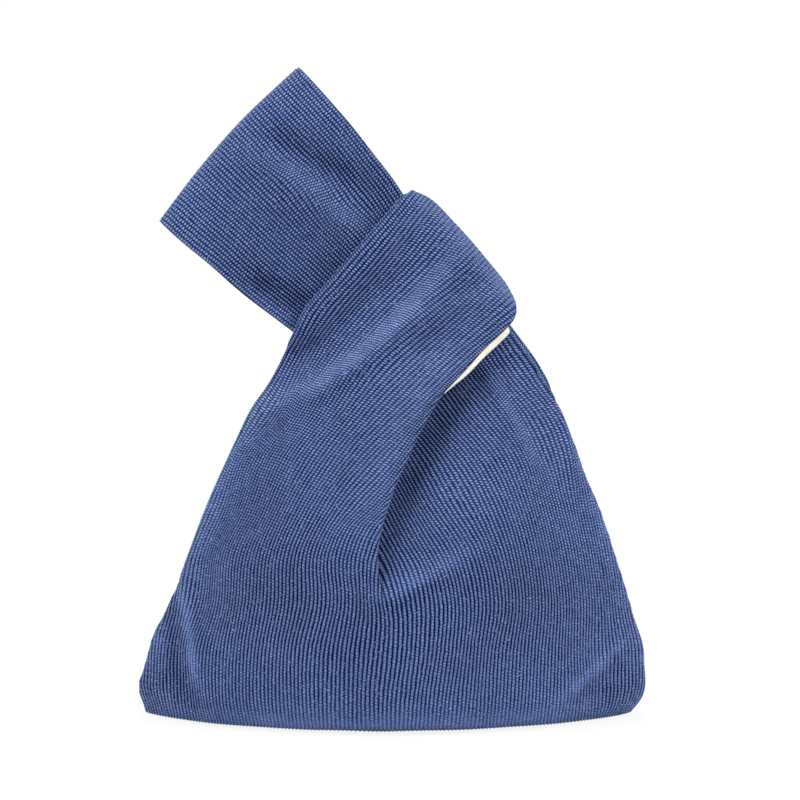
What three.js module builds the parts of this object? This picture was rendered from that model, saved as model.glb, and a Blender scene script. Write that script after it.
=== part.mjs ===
// A wrist bag closed by its own two loops, stuffed and standing on its base.
// Millimetres, +Z up, front facing -Y. Front and back are cut alike and sewn at the sides, along
// the base and at the top of each loop. The short loop leans to +X, and the long loop is drawn
// through it towards -X, so that it hangs on a wrist and closes the mouth.
import * as THREE from "three";
import { ParametricGeometry } from "three/addons/geometries/ParametricGeometry.js";
import { mergeGeometries, mergeVertices } from "three/addons/utils/BufferGeometryUtils.js";

// Cloth and thread
const SHELL = 1.6; // ribbed cloth
const LINING = 0.7; // plain cotton
const LAYER_GAP = 0.3; // between two layers that lie on each other
const SEAM_GAP = 1.2; // between the front and back edges, where the thread runs
const THREAD = 0.5; // thread diameter
const LINING_ROLL = 2.0; // how far the lining peeps out along the short loop's mouth edge
const LINING_SLACK = 3; // how far the lining hangs back from the pleat's crest

// Body
const BAG_WIDTH = 220;
const BAG_DEPTH = 112;
const BASE_WIDTH = 190; // length of the base seam
const BASE_DEPTH = 80; // flat part that lies on the table
const HEEL_RISE = 7; // height of the turn from base to front
const BELLY_RISE = 19; // height of the widest place
const FULLNESS = 2.0; // power of the lens-shaped plan, 2 is a parabola
const ROUNDNESS = 0.75; // power of the whole plan, below 1 fills out its sides
const BASE_MIDDLE = -11; // where the middle rib crosses the base
// Where the stations of a side seam lie between the belly and the armpit, and how far it bulges
const LEFT_CLIMB = { shares: [0.22, 0.41, 0.7], bulge: 3 };
const RIGHT_CLIMB = { shares: [0.3, 0.52, 0.76], bulge: 2 };

// Pleat in the middle of the front, from its foot to the neck where the two loops part
const PLEAT_FOOT = { x: -3.5, z: 62 };
const PLEAT_NECK = { x: 20.3, z: 138.5 };
const PLEAT_NECK_DEPTH = 52; // front to back over the neck
const PLEAT_SAG = 11; // how far the crest hangs to the left of a straight line
const PLEAT_STEP = 8; // how far the left sheet stands in front of the right one
const PLEAT_SLOPE = 5; // how far the step runs to the right
const PLEAT_REACH = 16; // how far to the right the cloth comes back up from the step
// Stations of the crest: shares of its height, of its sag and of its way back to the neck's depth
const PLEAT_AT_FOOT = { height: 0, sag: 0, back: 0 };
const PLEAT_LOW = { height: 0.28, sag: 0.84, back: 0.15 };
const PLEAT_HIGH = { height: 0.57, sag: 0.78, back: 0.46 };
const PLEAT_AT_NECK = { height: 1, sag: 0, back: 1 };

// Knot: the middle of the crossing, and which way each loop runs from it
const KNOT = { x: 5.5, z: 170.7 };
const SHORT_LOOP_ANGLE = 50; // degrees above +X
const LONG_LOOP_ANGLE = 135;

// Short loop
const SHORT_LOOP_WIDTH = 70;
const SHORT_LOOP_REACH = 45; // from the knot to its outer top corner
const SHORT_LOOP_SLANT = 10; // how much shorter its mouth edge is
const SHORT_LOOP_BOW = 5; // how far its top bows out
const SHORT_LOOP_TURN = 5; // length over which the cloth turns from front to back
const LEFT_ARMPIT = -33.5; // where the side seam ends, along the short loop from the knot
// A station of the mouth edge: distance from the knot, how far it bellies out sideways and forwards
const MOUTH_BELLY = { s: 8, side: 1.5, front: 6 };
const MOUTH_TOP_FLARE = 2; // how much wider it is just below the top

// Long loop
const DRAWN_WIDTH = 70; // inside the knot
const DRAWN_LENGTH = 45; // from where it parts from the bag to its crease
const CREASE = 43.5; // from the knot to the fold line beside the short loop
const CREASE_WIDTH = 79;
const HANDLE_LENGTH = 63; // from the fold line to the top
const HANDLE_WIDTH = 90; // at the top
const HANDLE_BOW = 5;
const HANDLE_TURN = 5.5; // length over which its cloth turns from front to back
const HANDLE_OPENING = 15; // widest gap between its front and back linings
const DRAWN_OPENING = 5.0; // gap between front and back linings inside the knot
const KNOT_CLEARANCE = 0.5; // between the long loop and the short loop round it
const FOLD_LIMIT = 90; // degrees that the handle folds each way
const CREASE_EASE = 6; // length over which the cloth flattens to the fold line
// Stations of the right shoulder in the long loop's frame: along it, across it, and depth in front
const RIGHT_ARMPIT = { s: -73, w: -21, front: 0 };
const RIGHT_SHOULDER = { s: -57, w: -26, front: 1.5 };
const RIGHT_UNDERARM = { s: -36, w: -30, front: 0 };
const NECK_LOW = { s: -22, w: 26, front: 6 };
const NECK_HIGH = { s: -12, w: 33, front: 1 };

// Facets
const COLUMNS = 8;
const ROWS_PER_STATION = 2;
const PLEAT_COLUMNS = 2;
const HANDLE_ROWS = 10;
const SEAM_STEPS = 18;
const THREAD_SIDES = 3; // facets in each half of its section

// Derived sizes
const LAYERS = SHELL + LAYER_GAP + LINING;
const EDGE = SEAM_GAP / 2;
const DRAWN_HALF = DRAWN_OPENING / 2 + LAYERS;
const SHORT_HALF = DRAWN_HALF + KNOT_CLEARANCE + LAYERS;
const CREASE_HALF = LAYER_GAP + LAYERS;
const HANDLE_HALF = HANDLE_OPENING / 2 + LAYERS;
const MITRE = Math.tan(THREE.MathUtils.degToRad(FOLD_LIMIT / 2));
const CREASE_START = CREASE_HALF * MITRE + LAYER_GAP / 2;

const material = (color, roughness) => new THREE.MeshStandardMaterial({ color, roughness, metalness: 0 });
const blueCord = material("#4b5b90", 0.9);
const creamCotton = material("#ede9d8", 0.85);
const blueThread = material("#3c4c80", 0.8);
const creamThread = material("#e2dcc6", 0.8);

// A frame lies in the XZ plane with its origin at the knot. s runs along the loop and w across it.
function frame(degrees) {
  const a = THREE.MathUtils.degToRad(degrees);
  const along = new THREE.Vector3(Math.cos(a), 0, Math.sin(a));
  const across = new THREE.Vector3(-Math.sin(a), 0, Math.cos(a));
  const origin = new THREE.Vector3(KNOT.x, 0, KNOT.z);
  const point = (s, w, y) => origin.clone().addScaledVector(along, s).addScaledVector(across, w).setY(y);
  const distance = (p) => p.clone().sub(origin).dot(along);
  return { along, across, point, distance };
}
const shortLoop = frame(SHORT_LOOP_ANGLE);
const longLoop = frame(LONG_LOOP_ANGLE);

const spline = (points) => new THREE.CatmullRomCurve3(points, false, "centripetal");
const vec = (x, y, z) => new THREE.Vector3(x, y, z);
const STATIONS = 11;
const LAST = STATIONS - 1;
const FOOT = 4 / LAST; // station of the pleat's foot
const NECK = 7 / LAST; // station of the pleat's neck

// A side seam climbs from the end of the base seam round the belly to the armpit.
function sideSeam(side, armpit, { shares, bulge }) {
  const belly = vec((side * BAG_WIDTH) / 2, -EDGE, BELLY_RISE);
  const climb = shares.map((share) => {
    const p = belly.clone().lerp(armpit, share).setY(-EDGE);
    p.x += side * bulge * Math.sin(Math.PI * share);
    return p;
  });
  const heelX = side * (BAG_WIDTH / 2 - HEEL_RISE / 3);
  const rimX = side * (BASE_WIDTH / 2 + HEEL_RISE / 2);
  const base = vec((side * BASE_WIDTH) / 2, -EDGE, 0);
  return [base, vec(rimX, -SEAM_GAP, 0), vec(heelX, -EDGE, HEEL_RISE), belly, ...climb];
}

// The four long edges of the front, station by station from the base seam upwards
const shortHalfWidth = SHORT_LOOP_WIDTH / 2;
const mouthReach = SHORT_LOOP_REACH - SHORT_LOOP_SLANT;
const leftArmpit = shortLoop.point(LEFT_ARMPIT, shortHalfWidth, -SHORT_HALF);
const leftEdge = spline([
  ...sideSeam(-1, leftArmpit, LEFT_CLIMB),
  leftArmpit,
  shortLoop.point(0, shortHalfWidth, -SHORT_HALF),
  shortLoop.point(SHORT_LOOP_REACH - SHORT_LOOP_TURN, shortHalfWidth, -SHORT_HALF),
  shortLoop.point(SHORT_LOOP_REACH, shortHalfWidth, -EDGE),
]);

const halfDepth = BAG_DEPTH / 2;
const neckHalf = PLEAT_NECK_DEPTH / 2;
const pleatFootHalf = halfDepth - 2;
function pleatPoint({ height, sag, back }) {
  const x = THREE.MathUtils.lerp(PLEAT_FOOT.x, PLEAT_NECK.x, height) - PLEAT_SAG * sag;
  const z = THREE.MathUtils.lerp(PLEAT_FOOT.z, PLEAT_NECK.z, height);
  return vec(x, -THREE.MathUtils.lerp(pleatFootHalf, neckHalf, back), z);
}
const mouthEdge = spline([
  vec(BASE_MIDDLE, -EDGE, 0),
  vec(BASE_MIDDLE, -BASE_DEPTH / 2, 0),
  vec(BASE_MIDDLE, -(halfDepth - HEEL_RISE * 0.8), HEEL_RISE),
  vec(BASE_MIDDLE + 2, -halfDepth, BELLY_RISE + 2),
  pleatPoint(PLEAT_AT_FOOT),
  pleatPoint(PLEAT_LOW),
  pleatPoint(PLEAT_HIGH),
  pleatPoint(PLEAT_AT_NECK),
  shortLoop.point(MOUTH_BELLY.s, -shortHalfWidth - MOUTH_BELLY.side, -SHORT_HALF - MOUTH_BELLY.front),
  shortLoop.point(mouthReach - SHORT_LOOP_TURN, -shortHalfWidth - MOUTH_TOP_FLARE, -SHORT_HALF),
  shortLoop.point(mouthReach, -shortHalfWidth, -EDGE),
]);

const drawnHalfWidth = DRAWN_WIDTH / 2;
const drawnStart = CREASE - DRAWN_LENGTH;
const bagEnd = drawnStart - LAYER_GAP;
const shoulder = ({ s, w, front }, half) => longLoop.point(s, w, -half - front);
const rightArmpit = shoulder(RIGHT_ARMPIT, EDGE);
const rightEdge = spline([
  ...sideSeam(1, rightArmpit, RIGHT_CLIMB),
  rightArmpit,
  shoulder(RIGHT_SHOULDER, EDGE),
  shoulder(RIGHT_UNDERARM, DRAWN_HALF),
  longLoop.point(bagEnd, -drawnHalfWidth, -DRAWN_HALF),
]);
function stepped(p, share) {
  return p.clone().add(vec(PLEAT_SLOPE * (1 - share / 2), PLEAT_STEP * share, -share));
}
const valley = spline([
  pleatPoint(PLEAT_AT_FOOT),
  stepped(pleatPoint(PLEAT_LOW), 0.45),
  stepped(pleatPoint(PLEAT_HIGH), 0.75),
  stepped(pleatPoint(PLEAT_AT_NECK), 1),
  shoulder(NECK_LOW, DRAWN_HALF),
  shoulder(NECK_HIGH, DRAWN_HALF),
  longLoop.point(bagEnd, drawnHalfWidth, -DRAWN_HALF),
]);
function rightSheetEdge(t) {
  return t <= FOOT ? mouthEdge.getPoint(t) : valley.getPoint((t - FOOT) / (1 - FOOT));
}

const keepFront = (p) => p.set(p.x, Math.min(p.y, -EDGE), Math.max(p.z, 0));

// One row of the panel: straight in X and Z, with the lens-shaped swell in depth. A step lies behind
// the swell at the middle and fades towards the edge.
function row(edge, middle, share, step, target) {
  const swell = Math.pow(1 - Math.pow(1 - share, FULLNESS), ROUNDNESS);
  const away = (1 - share) * Math.abs(edge.x - middle.x);
  const fade = Math.exp(-Math.pow(away / PLEAT_REACH, 2));
  target.lerpVectors(edge, middle, share);
  target.y = THREE.MathUtils.lerp(edge.y, middle.y - step, swell) + step * fade;
  return keepFront(target);
}

// Sheets are joined at their shared points. Triangles that shrink to a line are dropped.
function joinSheets(sheets) {
  const joined = mergeGeometries(sheets);
  joined.deleteAttribute("normal");
  joined.deleteAttribute("uv");
  const merged = mergeVertices(joined, 1e-3);
  const old = merged.index.array;
  const kept = [];
  for (let i = 0; i < old.length; i += 3) {
    const [a, b, c] = old.slice(i, i + 3);
    if (a !== b && b !== c && c !== a) kept.push(a, b, c);
  }
  merged.setIndex(kept);
  merged.computeVertexNormals();
  return merged;
}

// The front sheet: left part with the short loop, right part with the foot of the long loop, and
// the pleat's step between them. The neck is left open above it. The lining's sheet is rolled out
// at the mouth edge and hangs slack behind the pleat's crest.
const ramp = (v, from, to) => THREE.MathUtils.smoothstep(v, from / LAST, to / LAST);
function frontSheet(roll, slack) {
  const rows = LAST * ROWS_PER_STATION;
  const hang = (v) => slack * (ramp(v, 4, 5.5) - ramp(v, 5.5, 7));
  const left = (u, v, target) => {
    row(leftEdge.getPoint(v), mouthEdge.getPoint(v), u, 0, target);
    target.addScaledVector(shortLoop.along, SHORT_LOOP_BOW * 4 * u * (1 - u) * ramp(v, 8, 10));
    target.y += hang(v) * THREE.MathUtils.smoothstep(u, 0.5, 1);
    if (u === 1) target.addScaledVector(shortLoop.across, -roll * (ramp(v, 7, 8) - ramp(v, 8.4, 9)));
  };
  const right = (u, v, target) => {
    const inner = rightSheetEdge(v);
    const drop = inner.y - mouthEdge.getPoint(Math.min(v, NECK)).y;
    const dip = THREE.MathUtils.clamp(drop, 0, PLEAT_STEP) * (1 - ramp(v, 7, 8));
    row(rightEdge.getPoint(v), inner, 1 - u, dip, target);
  };
  const step = (u, v, target) => {
    const t = THREE.MathUtils.lerp(FOOT, NECK, v);
    const crest = mouthEdge.getPoint(t);
    crest.y += hang(t);
    keepFront(target.lerpVectors(crest, rightSheetEdge(t), u));
  };
  return joinSheets([
    new ParametricGeometry(left, COLUMNS, rows),
    new ParametricGeometry(right, COLUMNS, rows),
    new ParametricGeometry(step, PLEAT_COLUMNS, Math.round((NECK - FOOT) * rows)),
  ]);
}

// The long loop's front, from where it parts from the bag to its fold line, and from there to the
// top. A profile gives distance from the fold line and depth, and the width runs evenly along it.
function loopSheet(profile, startWidth, endWidth, bow) {
  const surface = (u, v, target) => {
    const p = profile.getPoint(v);
    const width = THREE.MathUtils.lerp(startWidth, endWidth, v);
    const s = CREASE + p.x + bow * 4 * u * (1 - u) * v;
    target.copy(longLoop.point(s, width * (0.5 - u), Math.min(p.y, -EDGE)));
  };
  return joinSheets([new ParametricGeometry(surface, COLUMNS, HANDLE_ROWS)]);
}
const drawnProfile = spline([
  vec(-DRAWN_LENGTH, -DRAWN_HALF, 0),
  vec(-DRAWN_LENGTH / 2, -DRAWN_HALF, 0),
  vec(-CREASE_START - CREASE_EASE, -DRAWN_HALF, 0),
  vec(-CREASE_START, -CREASE_HALF, 0),
]);
const handleProfile = spline([
  vec(CREASE_START, -CREASE_HALF, 0),
  vec(HANDLE_LENGTH * 0.22, -(CREASE_HALF + HANDLE_HALF) / 2, 0),
  vec(HANDLE_LENGTH * 0.5, -HANDLE_HALF, 0),
  vec(HANDLE_LENGTH * 0.75, -(HANDLE_HALF + HANDLE_TURN) / 2 - EDGE, 0),
  vec(HANDLE_LENGTH - HANDLE_TURN, -HANDLE_TURN - EDGE, 0),
  vec(HANDLE_LENGTH, -EDGE, 0),
]);

// Inward direction at a point. On the seam plane it stays in that plane, and at the fold line it
// follows the mitre, so that two layers on either side of the line can swing by the fold limit.
function inward(point, normal) {
  const dir = normal.clone().negate();
  const fromCrease = longLoop.distance(point) - CREASE;
  if (Math.abs(Math.abs(fromCrease) - CREASE_START) < 1e-3 && Math.abs(point.y + CREASE_HALF) < 1e-3) {
    return vec(0, 1, 0).addScaledVector(longLoop.along, -Math.sign(fromCrease) * MITRE);
  }
  if (point.y > -EDGE - 1e-3) {
    dir.setY(0).normalize();
    dir.divideScalar(Math.max(0.45, -dir.dot(normal)));
  }
  return dir;
}

// A closed layer between two depths below a sheet: outer face, inner face, and a rim along every
// edge that only one triangle uses.
function layer(sheet, from, to) {
  const place = sheet.attributes.position;
  const normals = sheet.attributes.normal;
  const count = place.count;
  const faces = sheet.index.array;
  const positions = [];
  for (const depth of [from, to]) {
    for (let i = 0; i < count; i += 1) {
      const point = new THREE.Vector3().fromBufferAttribute(place, i);
      const normal = new THREE.Vector3().fromBufferAttribute(normals, i);
      const inner = point.clone().addScaledVector(inward(point, normal), depth);
      positions.push(inner.x, Math.min(inner.y, -LAYER_GAP), inner.z);
    }
  }
  const index = [];
  const edges = new Set();
  for (let i = 0; i < faces.length; i += 3) {
    const [a, b, c] = faces.slice(i, i + 3);
    index.push(a, b, c, c + count, b + count, a + count);
    for (const pair of [[a, b], [b, c], [c, a]]) edges.add(pair.join());
  }
  for (const pair of edges) {
    const [a, b] = pair.split(",").map(Number);
    if (!edges.has([b, a].join())) index.push(b, a, a + count, b, a + count, b + count);
  }
  const geometry = new THREE.BufferGeometry();
  geometry.setAttribute("position", new THREE.Float32BufferAttribute(positions, 3));
  geometry.setIndex(index);
  return geometry;
}

// A row of stitches, as one thread along a path
function thread(points) {
  const section = new THREE.Shape().absellipse(0, 0, THREAD / 2, THREAD / 2, 0, 2 * Math.PI);
  return new THREE.ExtrudeGeometry(section, {
    steps: points.length - 1,
    curveSegments: THREAD_SIDES,
    extrudePath: spline(points),
  });
}

// Points of a seam at a depth below the cloth's outside. An edge runs upwards, so the inside is to
// its right on the left edge and to its left on the right edge.
function sideSeamPath(edge, side, depth, start, end) {
  const at = (i) => {
    const t = THREE.MathUtils.lerp(start, end, i / SEAM_STEPS);
    const tangent = edge.getTangent(t).setY(0).normalize();
    const inside = vec(-side * tangent.z, 0, side * tangent.x);
    return edge.getPoint(t).addScaledVector(inside, depth).setY(0);
  };
  return Array.from({ length: SEAM_STEPS + 1 }, (_, i) => at(i));
}
function topSeamPath(from, to, outward, bow, depth) {
  const steps = SEAM_STEPS / 2;
  const at = (i) => {
    const u = i / steps;
    return from.clone().lerp(to, u).addScaledVector(outward, bow * 4 * u * (1 - u) - depth).setY(0);
  };
  return Array.from({ length: steps + 1 }, (_, i) => at(i));
}
function baseSeamPath(depth) {
  const end = BASE_WIDTH / 2 - SEAM_GAP;
  return [-end, 0, end].map((x) => vec(x, 0, depth));
}

const bag = new THREE.Group();
function add(name, geometry, look, mirrored) {
  const mesh = new THREE.Mesh(geometry, look);
  mesh.name = name;
  if (mirrored) mesh.scale.set(1, -1, 1);
  bag.add(mesh);
}
// Every cloth piece is a front and a back, mirrored in the seam plane.
function addPair(names, geometry, look) {
  add(names[0], geometry, look, false);
  add(names[1], geometry, look, true);
}

const liningDepth = SHELL + LAYER_GAP;
const panel = frontSheet(0, 0);
const panelLining = frontSheet(LINING_ROLL, LINING_SLACK);
const drawn = loopSheet(drawnProfile, DRAWN_WIDTH, DRAWN_WIDTH, 0);
const handle = loopSheet(handleProfile, CREASE_WIDTH, HANDLE_WIDTH, HANDLE_BOW);
addPair(["front_panel", "back_panel"], layer(panel, 0, SHELL), blueCord);
addPair(["front_lining", "back_lining"], layer(panelLining, liningDepth, LAYERS), creamCotton);
addPair(["drawn_strap_front", "drawn_strap_back"], layer(drawn, 0, SHELL), blueCord);
addPair(
  ["drawn_strap_front_lining", "drawn_strap_back_lining"],
  layer(drawn, liningDepth, LAYERS),
  creamCotton,
);
addPair(["handle_front", "handle_back"], layer(handle, 0, SHELL), blueCord);
addPair(["handle_front_lining", "handle_back_lining"], layer(handle, liningDepth, LAYERS), creamCotton);

// Each seam is sewn twice, in the shell and in the lining.
const seamStart = 1 / LAST;
const seamEnd = 6 / LAST;
const shortTop = [leftEdge.getPoint(1), mouthEdge.getPoint(1)];
const handleTop = [0.5, -0.5].map((w) => longLoop.point(CREASE + HANDLE_LENGTH, w * HANDLE_WIDTH, 0));
const seams = [
  { prefix: "", depth: SHELL / 2, look: blueThread },
  { prefix: "lining_", depth: liningDepth + LINING / 2, look: creamThread },
];
for (const { prefix, depth, look } of seams) {
  add(`${prefix}left_side_seam`, thread(sideSeamPath(leftEdge, -1, depth, seamStart, seamEnd)), look, false);
  add(`${prefix}right_side_seam`, thread(sideSeamPath(rightEdge, 1, depth, seamStart, seamEnd)), look, false);
  add(`${prefix}base_seam`, thread(baseSeamPath(depth)), look, false);
  const shortPath = topSeamPath(...shortTop, shortLoop.along, SHORT_LOOP_BOW, depth);
  add(`${prefix}short_loop_seam`, thread(shortPath), look, false);
  const handlePath = topSeamPath(...handleTop, longLoop.along, HANDLE_BOW, depth);
  add(`${prefix}long_loop_seam`, thread(handlePath), look, false);
}

export default bag;
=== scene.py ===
# %% [markdown]
# # A knotted wrist bag of ribbed cloth
#
# The bag is one soft pouch with two loops cut in one with it. The long loop is drawn through the short
# one, and that closes the mouth. This lesson dresses the plain CAD solids of the bag in cloth: every
# piece is a grid of points worked out with numpy, and the finishes are made of shader nodes.
#
# The frame comes first. It is the CAD model in metres, with X to the right, Y into the picture and Z up.
# Lengths in this lesson are millimetres until they go into a mesh.

# %% Load the frame
import math

import bmesh
import bpy
import numpy as np
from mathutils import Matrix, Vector


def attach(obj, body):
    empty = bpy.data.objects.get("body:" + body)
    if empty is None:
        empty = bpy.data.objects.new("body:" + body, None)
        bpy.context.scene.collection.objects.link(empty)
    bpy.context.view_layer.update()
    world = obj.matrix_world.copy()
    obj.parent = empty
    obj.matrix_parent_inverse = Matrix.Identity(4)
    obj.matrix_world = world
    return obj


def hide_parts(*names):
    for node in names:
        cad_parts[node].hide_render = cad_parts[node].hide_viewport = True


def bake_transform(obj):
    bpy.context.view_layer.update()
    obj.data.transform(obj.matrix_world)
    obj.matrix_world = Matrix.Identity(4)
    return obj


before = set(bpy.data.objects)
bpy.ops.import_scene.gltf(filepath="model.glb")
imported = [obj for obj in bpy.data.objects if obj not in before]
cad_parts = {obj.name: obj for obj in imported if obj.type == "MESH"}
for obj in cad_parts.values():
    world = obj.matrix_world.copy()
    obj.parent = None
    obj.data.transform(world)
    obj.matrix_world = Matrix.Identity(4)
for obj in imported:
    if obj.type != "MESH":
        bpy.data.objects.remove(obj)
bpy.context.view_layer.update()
scene = bpy.context.scene
MM = 0.001
TURN = 2 * math.pi
# The sign of Y on each side.
FRONT = -1
BACK = 1
SIDES = {"front": FRONT, "back": BACK}

# %% [markdown]
# ## The camera
#
# The bag was photographed from the front, a little above its middle, with a long lens. The lens length
# follows from how many pixels a millimetre takes at that distance.

# %% Camera
SENSOR = 36
LENS = 93.56
EYE = (0.00346, -0.9, 0.163)
LOOK_DOWN = 1.73
camera = bpy.data.objects.new("camera", bpy.data.cameras.new("camera"))
camera.data.sensor_width = SENSOR
camera.data.lens = LENS
camera.location = EYE
camera.rotation_euler = (math.radians(90 - LOOK_DOWN), 0, 0)
scene.collection.objects.link(camera)
scene.camera = camera
print("camera at", EYE, "m with a lens of", LENS, "mm")

# %% [markdown]
# ## Smooth curves from a few points
#
# A tailor's curve goes through a few marked points and bends evenly between them. A spline object could
# do that, but numbers are needed here and not an object, so a small function draws cubic pieces between
# the marks. Every outline, rib and depth below uses it.


# %% Curve helpers
def through(knots, values, at):
    """Cubic pieces through values at knots: the slope at a knot is the mean of the chords beside it."""
    knots = np.asarray(knots, float)
    values = np.asarray(values, float)
    at = np.clip(np.asarray(at, float), knots[0], knots[-1])
    more = (None,) * (values.ndim - 1)
    gaps = np.diff(knots)[(...,) + more]
    chords = np.diff(values, axis=0) / gaps
    inner = (gaps[1:] * chords[:-1] + gaps[:-1] * chords[1:]) / (gaps[1:] + gaps[:-1])
    slopes = np.concatenate([chords[:1], inner, chords[-1:]])
    piece = np.clip(np.searchsorted(knots, at, side="right") - 1, 0, len(knots) - 2)
    share = ((at - knots[piece]) / np.diff(knots)[piece])[(...,) + more]
    first, last = values[piece], values[piece + 1]
    leave, arrive = slopes[piece] * gaps[piece], slopes[piece + 1] * gaps[piece]
    bend = 3 * (last - first) - 2 * leave - arrive
    twist = 2 * (first - last) + leave + arrive
    return first + share * (leave + share * (bend + share * twist))


def lengths_of(points):
    """Lengths along points from the first one: zero, and then the sum of the steps so far."""
    steps = np.linalg.norm(np.diff(points, axis=0), axis=-1)
    return np.concatenate([0 * steps[:1], np.cumsum(steps, 0)])


def column(points, index):
    """One coordinate of a list of points."""
    return [point[index] for point in points]


def across_at(line, height):
    """How far to the right a line of (x, z) points is at a height."""
    return through(column(line, 1), column(line, 0), height)


print("a curve through 0, 1, 0 is", through([0, 1, 2], [0, 1, 0], 0.5), "halfway to its top")


# %% Soft steps
def ease(value, start, end):
    """Goes smoothly from 0 at start to 1 at end."""
    share = np.clip((value - start) / (end - start), 0, 1)
    return share * share * (3 - 2 * share)


def quarter(share):
    """A quarter circle: steep at 0 and level at 1."""
    return np.sqrt(1 - (1 - np.clip(share, 0, 1)) ** 2)


def bell(distance, width):
    """A bell curve: 1 in the middle and about a third at the given width."""
    return np.exp(-((distance / width) ** 2))


def soft_max(a, b, blend):
    """The larger of two heights, rounded over where they meet."""
    return 0.5 * (a + b + np.sqrt((a - b) ** 2 + blend**2))


print("a bell curve falls to", round(float(bell(1.0, 1.0)), 2), "at its width")

# %% [markdown]
# ## The outline and the swell
#
# Seen from the front the pouch is a triangle with soft corners. Its section is a lens: flat in the
# middle and steep at the side seams. The swell is deepest near the table and thins towards the knot.
# Sculpting or a cloth simulation could fill the pouch too, but a formula keeps the outline where it is.

# %% Outline and swell of the pouch
LEFT_OUTLINE = [
    (-107.2, 0), (-108.2, 4), (-109.8, 9), (-109.9, 13), (-108.2, 18.1), (-106.5, 24.1), (-102.6, 36.2),
    (-99.1, 42.3), (-96.5, 48.4), (-93.2, 55), (-91.4, 61), (-87, 72.6), (-82.3, 84.7), (-77.5, 96.8),
    (-71.9, 109), (-65.8, 121.1), (-60.2, 133.2), (-55, 140), (-52, 145.3), (-45.5, 157.4), (-42.4, 163.5),
]
RIGHT_OUTLINE = [
    (103.5, 0), (108.2, 5.9), (110, 12), (109.8, 20), (108.7, 30.2), (104.8, 42.3), (101.3, 54.4),
    (97.4, 66.5), (93.5, 78.7), (89.2, 90.8), (83.9, 102.9), (79.7, 115), (74.9, 127.1), (69.3, 139.3),
    (62.8, 151.4), (53.2, 163.5),
]
BASE_HALF = 43
BELLY = 55
HEEL = 13
SWELL_HEIGHTS = [HEEL, 57, 80, 103, 137, 150, 165, 180, 200]
SWELL = [BELLY, 54, 50, 41, 26.5, 18, 9, 3, 0]
LENS_POWER = 0.75


def swell(x, z):
    """Half depth: the depth at a height times (1 - side squared) to a power, with side from -1 to 1."""
    left = across_at(LEFT_OUTLINE, z)
    right = across_at(RIGHT_OUTLINE, z)
    side = np.clip((2 * x - left - right) / (right - left), -1, 1)
    heel = BASE_HALF + (BELLY - BASE_HALF) * quarter(z / HEEL)
    depth = np.where(z < HEEL, heel, through(SWELL_HEIGHTS, SWELL, z))
    return depth * (1 - side * side) ** LENS_POWER


print("the pouch is", round(2 * float(swell(0.0, 30.0))), "mm deep at its belly")

# %% [markdown]
# ## The ribs
#
# The cloth is a fine corduroy, and its ribs show how it was pulled. They climb from the base, lean
# towards the pleat in the middle of the front, and run on into the two loops. A pattern laid over the
# shape would cut across the folds, so the grid itself follows the ribs: a few guide ribs are marked,
# and the ribs between them are filled in. Left of the pleat the ribs are counted to the left, and
# right of it to the right.

# %% Guide ribs
MIDDLE_RIB = [(-4.3, 0), (-4.3, 15.6), (-2.4, 35.3), (-2, 48), (-3.6, 58)]
LEFT_RIBS = {
    0: MIDDLE_RIB + [(-1, 76), (5, 88), (14, 102), (25, 120), (39, 139), (56, 158), (80, 180), (110, 205)],
    10: [
        (-21.9, 0), (-22.2, 15.3), (-21.3, 35), (-18.1, 54.2), (-18.6, 73.4), (-14.2, 83.9), (-4.4, 92.7),
        (6, 101.5), (16, 112), (27, 126), (41, 143), (57, 159), (80, 178), (110, 200),
    ],
    20: [
        (-38, 0), (-39.1, 14.7), (-38.6, 34.4), (-34.6, 53.7), (-34.4, 72.9), (-24.6, 92.4), (-8.6, 112),
        (11.4, 131.7), (20, 139.8), (32, 150.8), (44, 161.8), (60, 175), (80, 191), (110, 214),
    ],
    26: [
        (-47.1, 0), (-48.6, 14.1), (-48.2, 33.9), (-44.7, 53.2), (-43.7, 72.5), (-35.2, 92.1),
        (-21.6, 111.8), (-4.1, 131.6), (16.2, 151.6), (40.8, 173), (51, 182.5), (70, 198), (100, 222),
    ],
    36: [
        (-62, 0), (-63.9, 13), (-63.5, 32.8), (-60.5, 52.2), (-58.8, 71.6), (-50.2, 91.4), (-40.7, 111.3),
        (-25.6, 131.5), (-10.1, 151.6), (12, 172.1), (34.8, 192.2), (40, 197.6), (60, 218), (75, 234),
    ],
    46: [
        (-76, 0), (-77.9, 11.6), (-78.5, 31.4), (-73.7, 51), (-72.3, 70.4), (-63.1, 90.6), (-55.7, 110.7),
        (-40.7, 131.2), (-28.6, 151.5), (-11.6, 172.1), (9.9, 194), (26.6, 213.1), (45, 233),
    ],
    54: [
        (-87, 0), (-88.4, 10.8), (-89.6, 30.5), (-83.9, 50.4), (-81.1, 70.5), (-72.8, 90.5), (-66, 110.6),
        (-51.5, 131.1), (-41.2, 151.6), (-27.8, 172.1), (-9.8, 192.7), (8, 214), (15.5, 223.6), (30, 242),
    ],
    58: [
        (-93, 0), (-94.4, 9.4), (-95.1, 29.3), (-91.8, 49.1), (-89.2, 66.5), (-87, 72.6), (-80, 90.8),
        (-71.9, 109), (-60.2, 133.2), (-52, 145.3), (-45.5, 157.4), (-41.6, 163.3), (-37, 173.1),
        (-23.3, 189.1), (-9.6, 205.1), (8.5, 225.9), (22, 242),
    ],
}
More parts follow.
